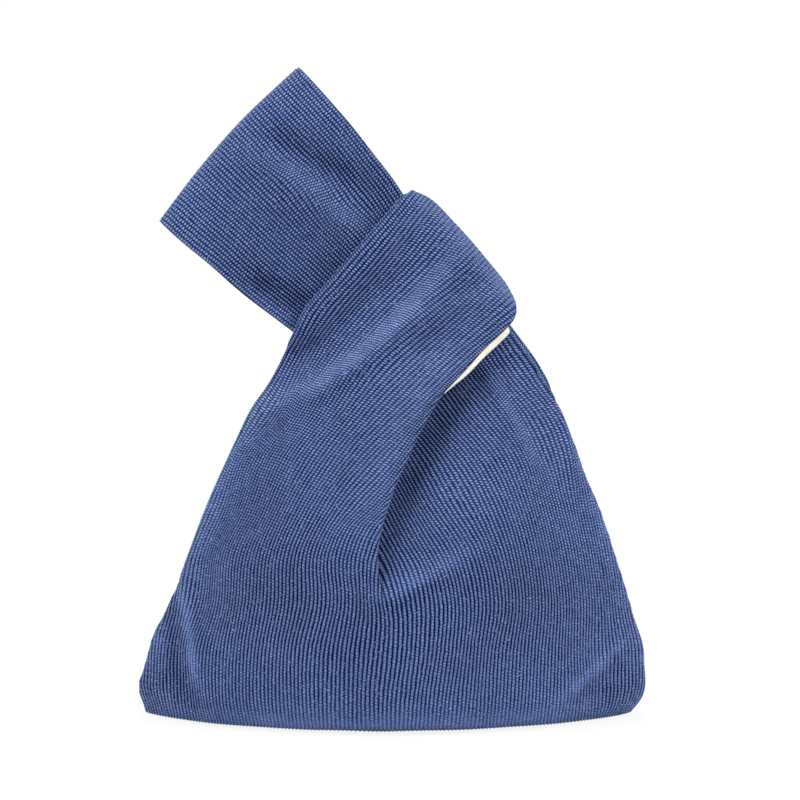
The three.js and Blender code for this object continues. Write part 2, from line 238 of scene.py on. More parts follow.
RIGHT_RIBS = {
    0: MIDDLE_RIB + [(-9, 71), (-15, 81), (-22, 92), (-34, 111), (-60, 152)],
    10: [
        (12, 0), (13.2, 15.5), (16, 35.2), (16.5, 54.4), (13.5, 67), (6, 80), (-2, 94), (-11, 109),
        (-24, 130), (-50, 170),
    ],
    20: [
        (28.4, 0), (29.6, 15.1), (31.6, 34.8), (33.3, 54), (28.8, 73.4), (16.2, 92.7), (4.7, 112),
        (-4.9, 124.2), (-17, 136), (-32, 149), (-60, 172),
    ],
    30: [
        (44.2, 0), (45.3, 14.3), (46.4, 34.1), (49.1, 53.3), (46.3, 72.8), (38.6, 92.3), (27.2, 111.9),
        (13.5, 128.4), (-6.8, 158.2), (-22, 179), (-45, 208),
    ],
    40: [
        (59.4, 0), (60.4, 13.3), (61.6, 33.1), (63.1, 52.4), (60.8, 72), (56.1, 91.7), (48.3, 111.5),
        (32.9, 131.5), (6.8, 171.9), (-12, 199), (-30, 222),
    ],
    50: [
        (74.5, 0), (75.5, 11.8), (75.5, 31.9), (76.3, 51.3), (74.1, 71), (69.7, 90.9), (64, 111),
        (55.3, 131.2), (41.8, 148.1), (20.4, 185.5), (4, 212),
    ],
    57: [
        (84.8, 0), (85.4, 10.6), (84.9, 30.9), (85.3, 50.4), (83.2, 70.2), (79.6, 90.2), (77.2, 110.5),
        (73.4, 130.6), (68.6, 139), (61.9, 150.6), (52, 164.2), (28.7, 194.8), (12, 216),
    ],
}
LAST_LEFT = 58
LAST_RIGHT = 57
# How many ribs reach the side seam at each height.
LEFT_SEAM_RIBS = ([0, 8, 67, 300], [68.5, 68, LAST_LEFT, LAST_LEFT])
RIGHT_SEAM_RIBS = ([0, 8, 47, 67, 88, 109, 130, 300], [72.5, 72, 70, 67, 65, 61, LAST_RIGHT, LAST_RIGHT])
print("about", round(LEFT_SEAM_RIBS[1][0] + RIGHT_SEAM_RIBS[1][0]), "ribs cross the base")

# %% [markdown]
# ## Where the ribs end
#
# On the left the ribs end on the pleat's crest, then on the mouth edge, and then at the top of the short
# loop. On the right they dive under the pleat and end where the long loop starts, hidden in the knot.
# Cutting a finished mesh along these edges would leave jagged faces, so each rib is ended on its edge.

# %% Top edges of the two halves
LEFT_TOP = [
    (0, -3.6, 58), (1.8, -5.2, 66), (3.7, -5.2, 77.6), (5.8, -3.2, 86.7), (10, -0.2, 96), (11.2, 0.9, 99.1),
    (13.75, 6.2, 111.3), (15.8, 11.8, 122.9), (17.4, 17, 132), (18.8, 20.8, 137.8), (19.6, 30.8, 148.2),
    (20.3, 38.9, 157), (21.2, 48.4, 166), (21.8, 51.7, 169.5), (22.8, 53.5, 173.8), (23.6, 53.4, 177),
    (26, 51, 182.5), (36, 40, 197.2), (46, 26.4, 212.6), (54, 15.2, 223.2), (58, 8.5, 226.2),
]
RIGHT_TOP = [
    (0, -3.6, 58), (3, -9.5, 82), (6, -10, 93), (10, -11, 109), (15, -14, 126), (20, -17, 136),
    (21, -19, 146), (57, 28.7, 194.8),
]
CREST_ROLL = 1.8
MOUTH_ROLL = 1.3
# Ribs over which the crest's roll grows, turns into the mouth's, and ends where the top is sewn shut.
CREST_RIBS = (0, 5)
MOUTH_RIBS = (17.5, 19.4)
SHUT_RIBS = (22.4, 23.6)
LONGEST_RIB = 300
RIB_STEP = 0.5
END_PULL = 8


def edge_at(top, numbers):
    """Points of a top edge: a rib's number gives the length along it, and the length gives the point."""
    points = np.asarray(top, float)[:, 1:]
    run = lengths_of(points)
    return through(run, points, np.interp(numbers, column(top, 0), run))


def edge_roll(numbers):
    """Radius of the rolled edge: the crest's, then the mouth's, and then nothing."""
    crest = CREST_ROLL * ease(numbers, *CREST_RIBS)
    mouth = crest + (MOUTH_ROLL - CREST_ROLL) * ease(numbers, *MOUTH_RIBS)
    return mouth * (1 - ease(numbers, *SHUT_RIBS))


def fan(guides, numbers, ends, shares):
    """Ribs between guide ribs: a smooth curve across the guides at each step of their length. Every rib is
    cut where it comes nearest to its end point, divided by shares of its length and pulled to that point."""
    steps = np.arange(0, LONGEST_RIB, RIB_STEP)
    walked = np.array([through(lengths_of(guide), guide, steps) for guide in guides.values()])
    ribs = through(list(guides), walked, numbers)
    last = np.linalg.norm(ribs - ends[:, None], axis=2).argmin(1)
    at = shares * last[:, None]
    step = np.minimum(at.astype(int), ribs.shape[1] - 2)[..., None]
    part = at[..., None] - step
    cut = np.take_along_axis(ribs, step, 1) * (1 - part) + np.take_along_axis(ribs, step + 1, 1) * part
    return cut + (ends - cut[:, -1])[:, None] * (shares**END_PULL)[None, :, None]


print("the pleat's crest starts at", edge_at(LEFT_TOP, np.zeros(1))[0], "mm")

# %% [markdown]
# ## Folds
#
# Cloth that is pulled into a knot has soft ridges and hollows. A simulation would put them where it likes,
# so each one is drawn: a line on the front, with a width and a height, that fades at both ends. Along a
# few lines the ribs are also gathered. Where a slope presses the ribs together their grooves close and the
# cloth looks paler, and where they part it is darker. Those amounts are drawn in the same way, and they
# also paint light and shade into the colour: painted highlights on streaks, outlines and the base rim, and
# painted shade in hollows, under the mouth and on the corner facets.

# %% Folds on the front
LOOP_RIDGE = [(-34.5, 142), (-12.5, 156.6), (0.5, 169.6), (11, 181), (27.4, 199.8), (33, 206)]
RIGHT_RIDGE = [(42.4, 146), (52.9, 126.8), (60.1, 112.2), (66, 100)]
CORNER_FOLDS = [
    ([(-96, 66), (-89, 54), (-85, 42), (-83, 32), (-81, 21), (-75, 9)], 4, 3.6),
    ([(-98, 54), (-94, 42), (-92, 33), (-90, 22), (-84, 10)], 4, -4.6),
    ([(-106, 25), (-100, 24), (-94, 22)], 4, 1.5),
    ([(99, 34), (88.4, 25.5), (81.6, 20.5), (74.6, 15.3), (68.2, 10)], 3.6, 3),
    ([(100, 23), (89, 15), (79, 8)], 6, -3.6),
    ([(100, 45), (92, 36), (88, 24)], 6, -1.6),
]
LOOP_FOLDS = [
    ([(-50, 133), (-42, 137.5), (-31, 141.5), (-18.5, 150), (-3.5, 162), (14, 177), (30, 194)], 4.8, 5),
    ([(0, 164), (17, 174), (42, 181)], 4, 1.6),
    ([(-60, 140), (-46, 150), (-28, 162), (-14, 176), (-1, 186), (12, 196)], 5, -2.6),
    ([(-34, 124), (-12, 140), (12, 160), (38, 182)], 7, -2),
    ([(-72, 112), (-62, 116), (-48, 117)], 3.5, 1.4),
    ([(-66, 124), (-56, 126), (-44, 124)], 3.5, -1.4),
    ([(-8, 140), (12, 155), (34, 172)], 5, 1.2),
]
RIGHT_FOLDS = [
    ([(-5, 54), (2.4, 57.5), (11.7, 62.5), (25.6, 69.5), (36, 75)], 4.5, 1.6),
    ([(36, 154)] + RIGHT_RIDGE, 4.5, 3.2),
    ([(36, 146), (46, 132), (54, 112)], 7, -1.8),
    ([(70, 138), (78, 118), (85, 98), (89, 84)], 5, 1.6),
    ([(64, 132), (72, 112), (78, 92)], 6, -1.2),
]
print("the front has", len(CORNER_FOLDS + LOOP_FOLDS + RIGHT_FOLDS), "folds")

# %% Gathers, press amounts and painted light and shade on the front
FRONT_GATHERS = [
    ([(-44, 136)] + LOOP_RIDGE, 7, 0.5),
    (RIGHT_RIDGE, 6, 0.35),
]
# Press amounts: above 0 the grooves close, below 0 they open. They are also painted light and shade:
# highlights on the loop's ridges, the crest, the outlines and the base rim, and shade in the belly's middle,
# under the mouth, in the pleat's hollow and on the corner facets.
FRONT_PRESS_AND_PAINTED_LIGHT = [
    ([(-54, 134)] + LOOP_RIDGE, 4, 1.1),
    ([(-4, 163), (16.8, 175), (41.2, 183), (52, 186)], 5, 0.5),
    ([(12, 226), (36, 204), (52, 184), (56, 172)], 8, 0.9),
    ([(48, 178), (33, 162), (16, 144), (4, 126), (-4, 108), (-10, 92)], 9, 0.6),
    ([(70, 142), (82, 112), (91, 88), (97, 68), (103, 46)], 5, 0.6),
    ([(-46, 152), (-60, 132), (-72, 108), (-82, 84), (-90, 66)], 5, 0.6),
    ([(-66, 96), (-44, 78), (-30, 58)], 16, -0.35),
    ([(112, 16), (100, 12), (88, 7)], 7, -0.7),
    (RIGHT_RIDGE, 3, 0.8),
    # Painted light along the base rim.
    ([(-100, 3), (-60, 3), (0, 3), (60, 3), (110, 3)], 6, 1),
    ([(-130, 50), (-60, 50), (0, 44), (60, 50), (130, 50)], 25, -0.5),
    ([(-52, 150), (-34, 166), (-16, 184), (2, 206)], 7, -0.5),
    ([(-114, 14), (-106, 6), (-98, 2)], 6, -0.8),
    ([(-6, 57), (4, 60.5), (14, 65.5), (27, 72), (36, 77)], 4, 0.8),
    ([(-6, 51), (2.4, 53.5), (11.7, 58.5), (25.6, 65)], 2.5, -0.5),
    ([(-93, 60), (-87.5, 46), (-85, 33), (-83.8, 22.4), (-76.5, 10)], 2.6, 0.9),
    ([(-95, 52), (-91, 41), (-89.6, 33), (-88.6, 22), (-82, 10)], 2.2, -0.9),
    ([(100, 35), (88.4, 26), (81.6, 21), (74.6, 15.8), (68.2, 10.5)], 2.4, 0.9),
    ([(101, 26), (90, 20), (83, 14.5), (76, 9)], 3.2, -0.7),
    ([(-112, 18), (-98, 16), (-86, 12), (-76, 6)], 6.5, -1.1),
    ([(-99, 54), (-95, 42), (-91, 28)], 4, -0.4),
    ([(18, 124), (32, 140), (50, 160)], 9, -0.9),
    ([(4, 86), (8, 104), (16, 124), (24, 138)], 7, -0.6),
]
print("the front is pressed or parted along", len(FRONT_PRESS_AND_PAINTED_LIGHT), "lines")

# %% Folds, gathers, press amounts and painted light on the back
BACK_FOLDS = [
    ([(-101, 34), (-92, 27), (-84, 18), (-80, 9)], 5, 1.8),
    ([(-97, 46), (-91, 32), (-86, 18)], 6, -2.8),
    ([(99, 33), (88, 23), (78, 14)], 5, 1.8),
    ([(99, 20), (88, 13), (78, 8)], 7, -2.6),
    ([(-46, 136), (-26, 150), (-2, 172), (26, 202)], 5.5, 3),
    ([(-58, 132), (-44, 142), (-30, 158)], 4.5, -2),
    ([(-34, 124), (-12, 142), (12, 164)], 7, -1.6),
    ([(50, 146), (62, 118), (74, 92)], 5, 2),
    ([(40, 140), (52, 112)], 7, -1.6),
    ([(-70, 92), (-58, 68), (-52, 44)], 7, 1.4),
]
BACK_GATHERS = [([(-40, 140), (-26, 150), (-2, 172), (20, 196)], 7, 0.4)]
# Press amounts, which are also painted light: a highlight on the loop's ridge and along the base rim.
BACK_PRESS_AND_PAINTED_LIGHT = [
    ([(-44, 136), (-26, 150), (-2, 172), (20, 196)], 3.4, 0.8),
    ([(-120, 5), (-60, 6), (0, 6), (60, 6), (120, 5)], 7, 0.4),
]
# The folds of the left and of the right half of each panel, its gathers, and its press amounts, which also
# paint light and shade.
POUCH = {
    "front": (CORNER_FOLDS + LOOP_FOLDS, CORNER_FOLDS + RIGHT_FOLDS, FRONT_GATHERS, FRONT_PRESS_AND_PAINTED_LIGHT),
    "back": (BACK_FOLDS, BACK_FOLDS, BACK_GATHERS, BACK_PRESS_AND_PAINTED_LIGHT),
}
print("the back has", len(BACK_FOLDS), "folds")

# %% Fold helpers
# A fold fades in and out over these shares of its line.
FADE_IN = (-0.15, 0.3)
FADE_OUT = (1.15, 0.7)
# The direction of each ripple in radians, and its length.
RIPPLES = ((0.4, 70), (1.3, 52), (2.2, 41), (2.9, 33), (0.9, 24))
RIPPLE_HEIGHT = 0.0075
RIPPLE_APART = 5


def near_line(points, line, width):
    """The nearest point of a line, and a weight: a bell curve of the distance that fades at both ends."""
    line = np.asarray(line, float)
    run = lengths_of(line)
    nearest = np.full(points.shape[:-1], np.inf)
    place = np.zeros(nearest.shape)
    foot = points
    for start, step, before, after in zip(line, np.diff(line, axis=0), run, run[1:]):
        share = np.clip((points - start) @ step / (after - before) ** 2, 0, 1)
        touched = start + share[..., None] * step
        away = np.linalg.norm(points - touched, axis=-1)
        nearer = away < nearest
        foot = np.where(nearer[..., None], touched, foot)
        place = np.where(nearer, (before + share * (after - before)) / run[-1], place)
        nearest = np.minimum(nearest, away)
    return foot, bell(nearest, width) * ease(place, *FADE_IN) * ease(place, *FADE_OUT)


def folded(points, folds):
    """Sum of ridges and hollows along lines: the height of each times its weight."""
    return sum(height * near_line(points, line, width)[1] for line, width, height in folds)


def gathered(points, lines):
    """Points drawn towards lines, so that ribs come closer there: a share of the way times the weight."""
    for line, width, share in lines:
        foot, weight = near_line(points, line, width)
        points = points + share * weight[..., None] * (foot - points)
    return points


def ripple(x, z, start):
    """Slight unevenness of stuffed cloth: a sum of sine waves, 24 to 70 mm long, in several directions."""
    total = 0 * x
    for turn, length in RIPPLES:
        ahead = x * math.cos(turn) + z * math.sin(turn)
        total = total + length * np.sin(RIPPLE_APART * start * turn + ahead * TURN / length)
    return RIPPLE_HEIGHT * total


print("a fold is", folded(np.zeros((1, 2)), [([(-1, 0), (1, 0)], 4, 2)])[0], "mm high on its line")

# %% [markdown]
# ## Depth of the two halves
#
# The left half lies over the right one along the pleat and then becomes the short loop, which is flat and
# holds the long loop between its two layers. The right half drops back under the pleat and then becomes
# the root of the long loop. Two sculpted sheets could meet anywhere, so each depth is a formula and the
# step between the halves is set.

# %% Depth of the left and the right half
KNOT = np.array([5.5, 170.7])
SHORT_ANGLE = math.radians(50)
SHORT_HALF = 8.2
SHORT_CROWN = 1.2
SHORT_WIDE = 38
SHORT_GROWS = (-48, -28)
SHORT_BLEND = 4
LONG_ANGLE = math.radians(135)
LONG_HALF = 5.1
LONG_GROWS = (-76, -45)
LONG_BLEND = 3
CREST_LINE = [row[1:] for row in LEFT_TOP if row[0] < SHUT_RIBS[0]]
CREST_SWELL = 2.2
CREST_WIDE = 11
CREST_STARTS = (62, 80)
CREST_ENDS = (152, 135)
PLEAT_HEIGHTS = [56, 60, 67, 80, 103, 139, 165]
PLEAT_STEP = [0, 1.5, 5, 8, 11, 13, 10]
PLEAT_REACH = 19
LEDGE = 0.45
LEDGE_HEIGHTS = (105, 70)


def loop_frame(x, z, angle):
    """Lengths along and across a loop from the knot's middle."""
    along = (x - KNOT[0]) * math.cos(angle) + (z - KNOT[1]) * math.sin(angle)
    across = -(x - KNOT[0]) * math.sin(angle) + (z - KNOT[1]) * math.cos(angle)
    return along, across


def left_depth(points, folds):
    """The swell, then the flat short loop, rounded into each other, and a ridge along the pleat's crest."""
    x, z = points[..., 0], points[..., 1]
    along, across = loop_frame(x, z, SHORT_ANGLE)
    grown = ease(along, *SHORT_GROWS)
    flat = SHORT_HALF + SHORT_CROWN * (1 - (across / SHORT_WIDE) ** 2)
    crest = CREST_SWELL * bell(across_at(CREST_LINE, z) - x, CREST_WIDE)
    crest = crest * ease(z, *CREST_STARTS) * ease(z, *CREST_ENDS)
    return soft_max(swell(x, z), flat * grown, SHORT_BLEND * grown) + crest + folded(points, folds)


def right_depth(points, folds):
    """The swell less the pleat's step, which fades from the crest, then the flat root of the long loop."""
    x, z = points[..., 0], points[..., 1]
    grown = ease(loop_frame(x, z, LONG_ANGLE)[0], *LONG_GROWS)
    past = np.maximum(x - across_at(CREST_LINE, z), 0)
    climbed = z - LEDGE * past * ease(z, *LEDGE_HEIGHTS)
    step = np.interp(climbed, PLEAT_HEIGHTS, PLEAT_STEP) * bell(past, PLEAT_REACH)
    return soft_max(swell(x, z) - step, LONG_HALF * grown, LONG_BLEND * grown) + folded(points, folds)


print("the short loop is", 2 * SHORT_HALF, "mm thick over the long one")

# %% [markdown]
# ## One panel of cloth
#
# A panel is one grid. Its columns follow the ribs and its rows climb from the base seam to the top edges.
# First come rows across the flat base, then the climb, then rows that roll the cut edges under. Outer
# columns take the ribs that run out into the side seams, and above those seams they roll the armholes.
# A flat pattern could be sewn and simulated, but then the ribs would not lie where they are marked.

# %% Grid helpers
BASE_SHARE = 0.08
TOP_SHARE = 0.05
CLIMB_ROWS = 112
EDGE_STEPS = 2000


def climb(count):
    """Shares of a rib's length: close together at the base and at the top, and even between."""
    share = np.linspace(0, 1, count)
    run = np.where(share < BASE_SHARE, share**2 / (2 * BASE_SHARE), share - BASE_SHARE / 2)
    top = 1 - BASE_SHARE / 2 - TOP_SHARE / 2 - (1 - share) ** 2 / (2 * TOP_SHARE)
    run = np.where(share > 1 - TOP_SHARE, top, run)
    return run / run[-1]


def unit(vectors):
    """Vectors made one long, and left alone where they have no length."""
    return vectors / np.maximum(np.linalg.norm(vectors, axis=-1, keepdims=True), 1e-9)


def normals_of(grid):
    """The direction across the grid at each point: the cross product of its row and column directions."""
    return unit(np.cross(np.gradient(grid, axis=1), np.gradient(grid, axis=0)))


def top_directions(numbers):
    """Directions in the front view that point out across the left top edge, for rib numbers."""
    close = np.linspace(0, LAST_LEFT, EDGE_STEPS)
    tangent = np.gradient(edge_at(LEFT_TOP, close), axis=0)
    run_x, run_z = [np.interp(numbers, close, tangent[:, i]) for i in (0, 1)]
    return unit(np.stack([run_z, 0 * numbers, -run_x], 1))


print("the first step of a climb is", round(100 * climb(CLIMB_ROWS)[1], 3), "% of a rib's length")

# %% Panel grid
BASE_Z = 0.3
SEAM_GAP = 0.3
# Columns lie closer together between these ribs, where the mouth edge turns.
CLOSE_FROM = 18.5
CLOSE_TO = 24
CLOSE_STEPS = 12
CLOSE_RIBS = np.arange(CLOSE_FROM * CLOSE_STEPS, CLOSE_TO * CLOSE_STEPS + 1) / CLOSE_STEPS
# Heights where the last full rib of each half meets the side seam, and where the left seam stops closing.
LEFT_MEETS = 66.5
RIGHT_MEETS = 132
LEFT_SEWN = 69
# The short loop's top closes over these ribs, and over this length.
CLOSED_RIBS = (22.4, 24.5)
CLOSING = 7
# On the right the outer ribs crowd together on their way into the knot.
CROWDED = 3
CROWDED_HEIGHTS = (108, 146)
CROWDED_RIBS = (46, LAST_RIGHT)
STUFFED = 30
RIPPLE_START = 1.5
SEAM_POWER = 3


def to_seam(rib, outline, meets, last, seam_ribs, shares):
    """Columns from the last full rib out to the side seam, or on the rib above where the two meet."""
    x, z = rib[:, 0], rib[:, 1]
    farther = np.minimum if outline is LEFT_OUTLINE else np.maximum
    seam_x = np.where(z < meets, farther(across_at(outline, z), x), x)
    flat = np.stack([x + shares * (seam_x - x), z + 0 * shares], -1)
    return flat, last + shares * (np.interp(z, *seam_ribs) - last)


def panel(side, per_rib, base_rows, outer, left_folds, right_folds, gathers):
    """Grid of one panel with cut edges: points (rows, columns, 3) and rib numbers, negative on the left."""
    shares = climb(CLIMB_ROWS)
    left_numbers = np.unique(np.r_[np.arange(LAST_LEFT * per_rib + 1) / per_rib, CLOSE_RIBS])
    right_numbers = np.arange(1, LAST_RIGHT * per_rib + 1) / per_rib
    roll = edge_roll(left_numbers)[:, None] * top_directions(left_numbers)[:, [0, 2]]
    left = fan(LEFT_RIBS, left_numbers, edge_at(LEFT_TOP, left_numbers) - roll, shares)
    right = fan(RIGHT_RIBS, right_numbers, edge_at(RIGHT_TOP, right_numbers), shares)
    left_share = np.linspace(1, 0, outer[0] + 1)[:-1, None]
    right_share = np.linspace(0, 1, outer[1] + 1)[1:, None]
    near, near_ribs = to_seam(left[-1], LEFT_OUTLINE, LEFT_MEETS, LAST_LEFT, LEFT_SEAM_RIBS, left_share)
    far, far_ribs = to_seam(right[-1], RIGHT_OUTLINE, RIGHT_MEETS, LAST_RIGHT, RIGHT_SEAM_RIBS, right_share)

    over = gathered(np.concatenate([near, left[::-1]]), gathers)
    shut = ease(np.r_[np.full(outer[0], LAST_LEFT), left_numbers[::-1]], *CLOSED_RIBS)[:, None]
    opening = quarter(np.linalg.norm(over - over[:, -1:], axis=-1) / CLOSING)
    over_depth = left_depth(over, left_folds) * (1 - shut + shut * opening)
    left_open = (over_depth[0] - SEAM_GAP) * (over[0, :, 1] < LEFT_SEWN)
    over_depth[:outer[0]] -= left_share**SEAM_POWER * left_open
    under = gathered(np.concatenate([right, far]), gathers)
    under_depth = right_depth(under, right_folds)
    right_open = (under_depth[-1] - SEAM_GAP) * (under[-1, :, 1] < RIGHT_MEETS)
    under_depth[-outer[1]:] -= right_share**SEAM_POWER * right_open

    x, z = np.moveaxis(np.concatenate([over, under]), -1, 0)
    depth = np.concatenate([over_depth, under_depth])
    depth = depth + ripple(x, z, RIPPLE_START + side) * np.clip(depth / STUFFED, 0, 1)
    grid = np.stack([x, side * np.maximum(depth, SEAM_GAP), np.maximum(z, BASE_Z)], -1).swapaxes(0, 1)
    crowding = CROWDED * ease(right[..., 1], *CROWDED_HEIGHTS) * ease(right_numbers, *CROWDED_RIBS)[:, None]
    ribs = np.concatenate([
        -near_ribs, -np.repeat(left_numbers[::-1, None], CLIMB_ROWS, 1),
        right_numbers[:, None] + crowding, far_ribs + crowding[-1],
    ]).T
    share = np.linspace(0, 1, base_rows + 1)[:-1, None]
    base_y = side * SEAM_GAP + (grid[:1, :, 1] - side * SEAM_GAP) * share
    base = np.stack([grid[:1, :, 0] + 0 * base_y, base_y, BASE_Z + 0 * base_y], -1)
    return np.concatenate([base, grid]), np.concatenate([np.repeat(ribs[:1], base_rows, 0), ribs])


print("the last ribs meet the side seams at", LEFT_MEETS, "and", RIGHT_MEETS, "mm")

# %% Rolled edges
RIB_PITCH = 1.9
PER_RIB = 4
OUTER = (32, 48)
BASE_ROWS = 16
ROLL_ANGLES = np.array([20, 45, 70, 95, 120, 145, 170, 190])
ROLL_ROWS = len(ROLL_ANGLES) + 1
TAIL = 3.0
# A rib's direction at the edge is taken over this many rows.
AHEAD_ROWS = 3
ARMHOLE_ROLL = 1.4
ARMHOLE_TURN = 170
# Lengths along a loop over which the roll of its armhole grows, and over which it ends.
SHORT_ROLL = ((-48, -36), (46, 38))
LONG_ROLL = ((-74, -60), (900, 800))


def turned_edge(edge, outward, side, radius, angles):
    """Rows that roll an edge under: radius times sine outwards and one minus cosine inwards."""
    angles = np.radians(angles)[:, None, None]
    return edge + radius * (np.sin(angles) * outward + (1 - np.cos(angles)) * np.array([0, -side, 0]))


def roll_armhole(grid, ribs, columns, edge, angle, lengths, side, way):
    """Rolls the outer columns above a side seam beside their rib. Their rib numbers go on round the roll."""
    grows, ends = lengths
    climbing = unit(np.gradient(grid[:, edge], axis=0))
    aside = unit(np.stack([-climbing[:, 2], 0 * climbing[:, 0], climbing[:, 0]], 1)) * way
    rise = loop_frame(grid[:, edge, 0], grid[:, edge, 2], angle)[0]
    radius = ARMHOLE_ROLL * ease(rise, *grows) * ease(rise, *ends)
    numbers = np.arange(grid.shape[1])[columns]
    share = np.abs(numbers - edge) / len(numbers)
    turned = turned_edge(grid[None, :, edge], aside[None], side, radius[None, :, None], share * ARMHOLE_TURN)
    above = (rise > grows[0])[:, None]
    grid[:, columns] = np.where(above[..., None], turned.swapaxes(0, 1), grid[:, columns])
    arc = radius[:, None] * np.radians(ARMHOLE_TURN) * share / RIB_PITCH
    ribs[:, columns] = np.where(above, ribs[:, edge:edge + 1] - way * arc, ribs[:, columns])


def rolled(grid, ribs, side):
    """A panel with armholes and left top edge rolled under: points, rib numbers and lengths along ribs."""
    right_edge = grid.shape[1] - OUTER[1] - 1
    roll_armhole(grid, ribs, slice(0, OUTER[0]), OUTER[0], SHORT_ANGLE, SHORT_ROLL, side, 1)
    roll_armhole(grid, ribs, slice(right_edge + 1, None), right_edge, LONG_ANGLE, LONG_ROLL, side, -1)
    run = lengths_of(grid)
    run = run - run[BASE_ROWS]
    numbers = np.clip(-ribs[-1], 0, LAST_LEFT)
    roll = np.where(ribs[-1] < 0, edge_roll(numbers), 0)
    roll[:OUTER[0]] = 0
    out = top_directions(numbers)
    top = turned_edge(grid[-1:], out, side, roll[:, None], ROLL_ANGLES)
    tail = top[-1:] - TAIL * out * roll[:, None]
    turns = np.radians(ROLL_ANGLES)
    arc = np.r_[turns, turns[-1] + TAIL][:, None] * roll
    ahead = unit((grid[-1] - grid[-1 - AHEAD_ROWS]) * [1, 0, 1])
    ribs = np.concatenate([ribs, ribs[-1] - arc * np.cross(out, ahead)[:, 1] / RIB_PITCH])
    run = np.concatenate([run, run[-1] + arc * (out * ahead).sum(1)])
    return np.concatenate([grid, top, tail]), ribs, run


print("a rolled edge takes", ROLL_ROWS, "rows")

# %% [markdown]
# ## Into the mesh
#
# Relief comes last: every rib stands out along the grid's normals as a cosine of its rib number. A
# displacement texture could raise the ribs too, but then they would be missing where the model is used
# without its finish. The rib number and the length along the rib go into a UV map, so that the finish
# can follow the ribs, and the press amounts, which are also painted light and shade, go into a second one.

# %% Mesh helpers
RIB_RELIEF = 0.24
WELD = 0.01
# Each slow wave: its size in ribs, how far it turns per rib, its length along the rib, and its start.
SWAYS = ((0.07, 0.42, 11, 0), (0.04, 0.9, -6.3, 2))
pieces = {}


def make_piece(name, grid, across, along, material, flip=False, pressed_and_shaded=0):
    """Puts a grid into a mesh in metres, with faces between neighbouring points, and closes its collapsed
    corners. One UV map keeps (across, along), and a second one how far the ribs are pushed together, an
    amount that also paints light and shade in the finish."""
    index = np.arange(grid.size // 3).reshape(grid.shape[:2])
    corners = [index[:-1, :-1], index[:-1, 1:], index[1:, 1:], index[1:, :-1]]
    faces = np.stack(corners[::-1] if flip else corners, -1).reshape(-1, 4)
    mesh = bpy.data.meshes.new(name)
    mesh.from_pydata((grid.reshape(-1, 3) * MM).tolist(), [], faces.tolist())
    corner = np.empty(len(mesh.loops), np.int32)
    mesh.loops.foreach_get("vertex_index", corner)
    for map_name, first, second in (("ribs", across, along), ("press_and_shade", pressed_and_shaded + 0 * across, 0 * along)):
        layer = mesh.uv_layers.new(name=map_name)
        spread = np.stack([first.ravel(), second.ravel()], 1)[corner]
        layer.uv.foreach_set("vector", spread.astype(np.float32).ravel())
    working = bmesh.new()
    working.from_mesh(mesh)
    bmesh.ops.remove_doubles(working, verts=working.verts, dist=WELD * MM)
    working.to_mesh(mesh)
    working.free()
    mesh.polygons.foreach_set("use_smooth", np.ones(len(mesh.polygons), bool))
    mesh.materials.append(material)
    piece = bpy.data.objects.new(name, mesh)
    scene.collection.objects.link(piece)
    pieces[name] = piece
    areas = np.empty(len(mesh.polygons))
    mesh.polygons.foreach_get("area", areas)
    print(name, "has", len(areas), "faces and", round(float(areas.sum()), 4), "m2")
    return piece


def sway(ribs, run):
    """Rib numbers that waver a little, as in cloth that was pulled about: a sum of slow sine waves."""
    waves = [size * np.sin(turn * ribs + run / length + start) for size, turn, length, start in SWAYS]
    return ribs + sum(waves)


def ribbed(grid, ribs, side, plain_rows=0):
    """The grid moved out along its normals by a cosine of the rib number, but for the last, plain rows."""
    relief = RIB_RELIEF * np.cos(TURN * ribs)
    relief[len(relief) - plain_rows:] = 0
    return grid - side * relief[..., None] * normals_of(grid)


print("ribs stand", 2 * RIB_RELIEF, "mm above their grooves")

# %% [markdown]
# ## Ribbed cloth
#
# The cloth is a fine cotton corduroy knit: raised ribs about two millimetres apart, each a row of small
# tufts, with darker ground between them, deepened by painted shade in the grooves. It has no gloss, only
# a soft bloom where the pile is seen from the side. A picture of cloth could be wrapped on, but it would
# stretch in the folds. So colour, tufts and bump follow the rib numbers in the UV map, and lint follows
# the object's own space.


# %% Node helpers
def linear(code):
    """A hex colour in sRGB as linear red, green, blue and alpha."""
    parts = [int(code[i:i + 2], 16) / 255 for i in (1, 3, 5)]
    return tuple(p / 12.92 if p <= 0.04045 else ((p + 0.055) / 1.055) ** 2.4 for p in parts) + (1.0,)


def fill(tree, node, inputs):
    """Fills a node's inputs with values and links. A node stands for its first output."""
    for name, value in inputs.items() if isinstance(inputs, dict) else enumerate(inputs):
        if isinstance(value, bpy.types.Node):
            value = value.outputs[0]
        if isinstance(value, bpy.types.NodeSocket):
            tree.links.new(value, node.inputs[name])
        else:
            node.inputs[name].default_value = value


def add(tree, kind, inputs=(), **settings):
    """Adds a shader node, sets its properties and fills its inputs, in order or by name. A kind in capitals
    is an operation of the math node."""
    if kind.isupper():
        kind, settings["operation"] = "Math", kind
    made = tree.nodes.new("ShaderNode" + kind)
    for name, value in settings.items():
        setattr(made, name, value)
    fill(tree, made, inputs)
    return made


def set_stops(ramp, stops):
    """Gives a colour ramp its positions and colours."""
    elements = ramp.color_ramp.elements
    while len(elements) < len(stops):
        elements.new(0.5)
    for element, (position, code) in zip(elements, stops):
        element.position = position
        element.color = linear(code)


def new_material(name):
    """An empty node material with its shader."""
    material = bpy.data.materials.new(name)
    material.use_nodes = True
    tree = material.node_tree
    tree.nodes.clear()
    shader = add(tree, "BsdfPrincipled")
    add(tree, "OutputMaterial", {"Surface": shader})
    return material, tree, shader


print("middle grey is", round(linear("#808080")[0], 3), "in linear light")

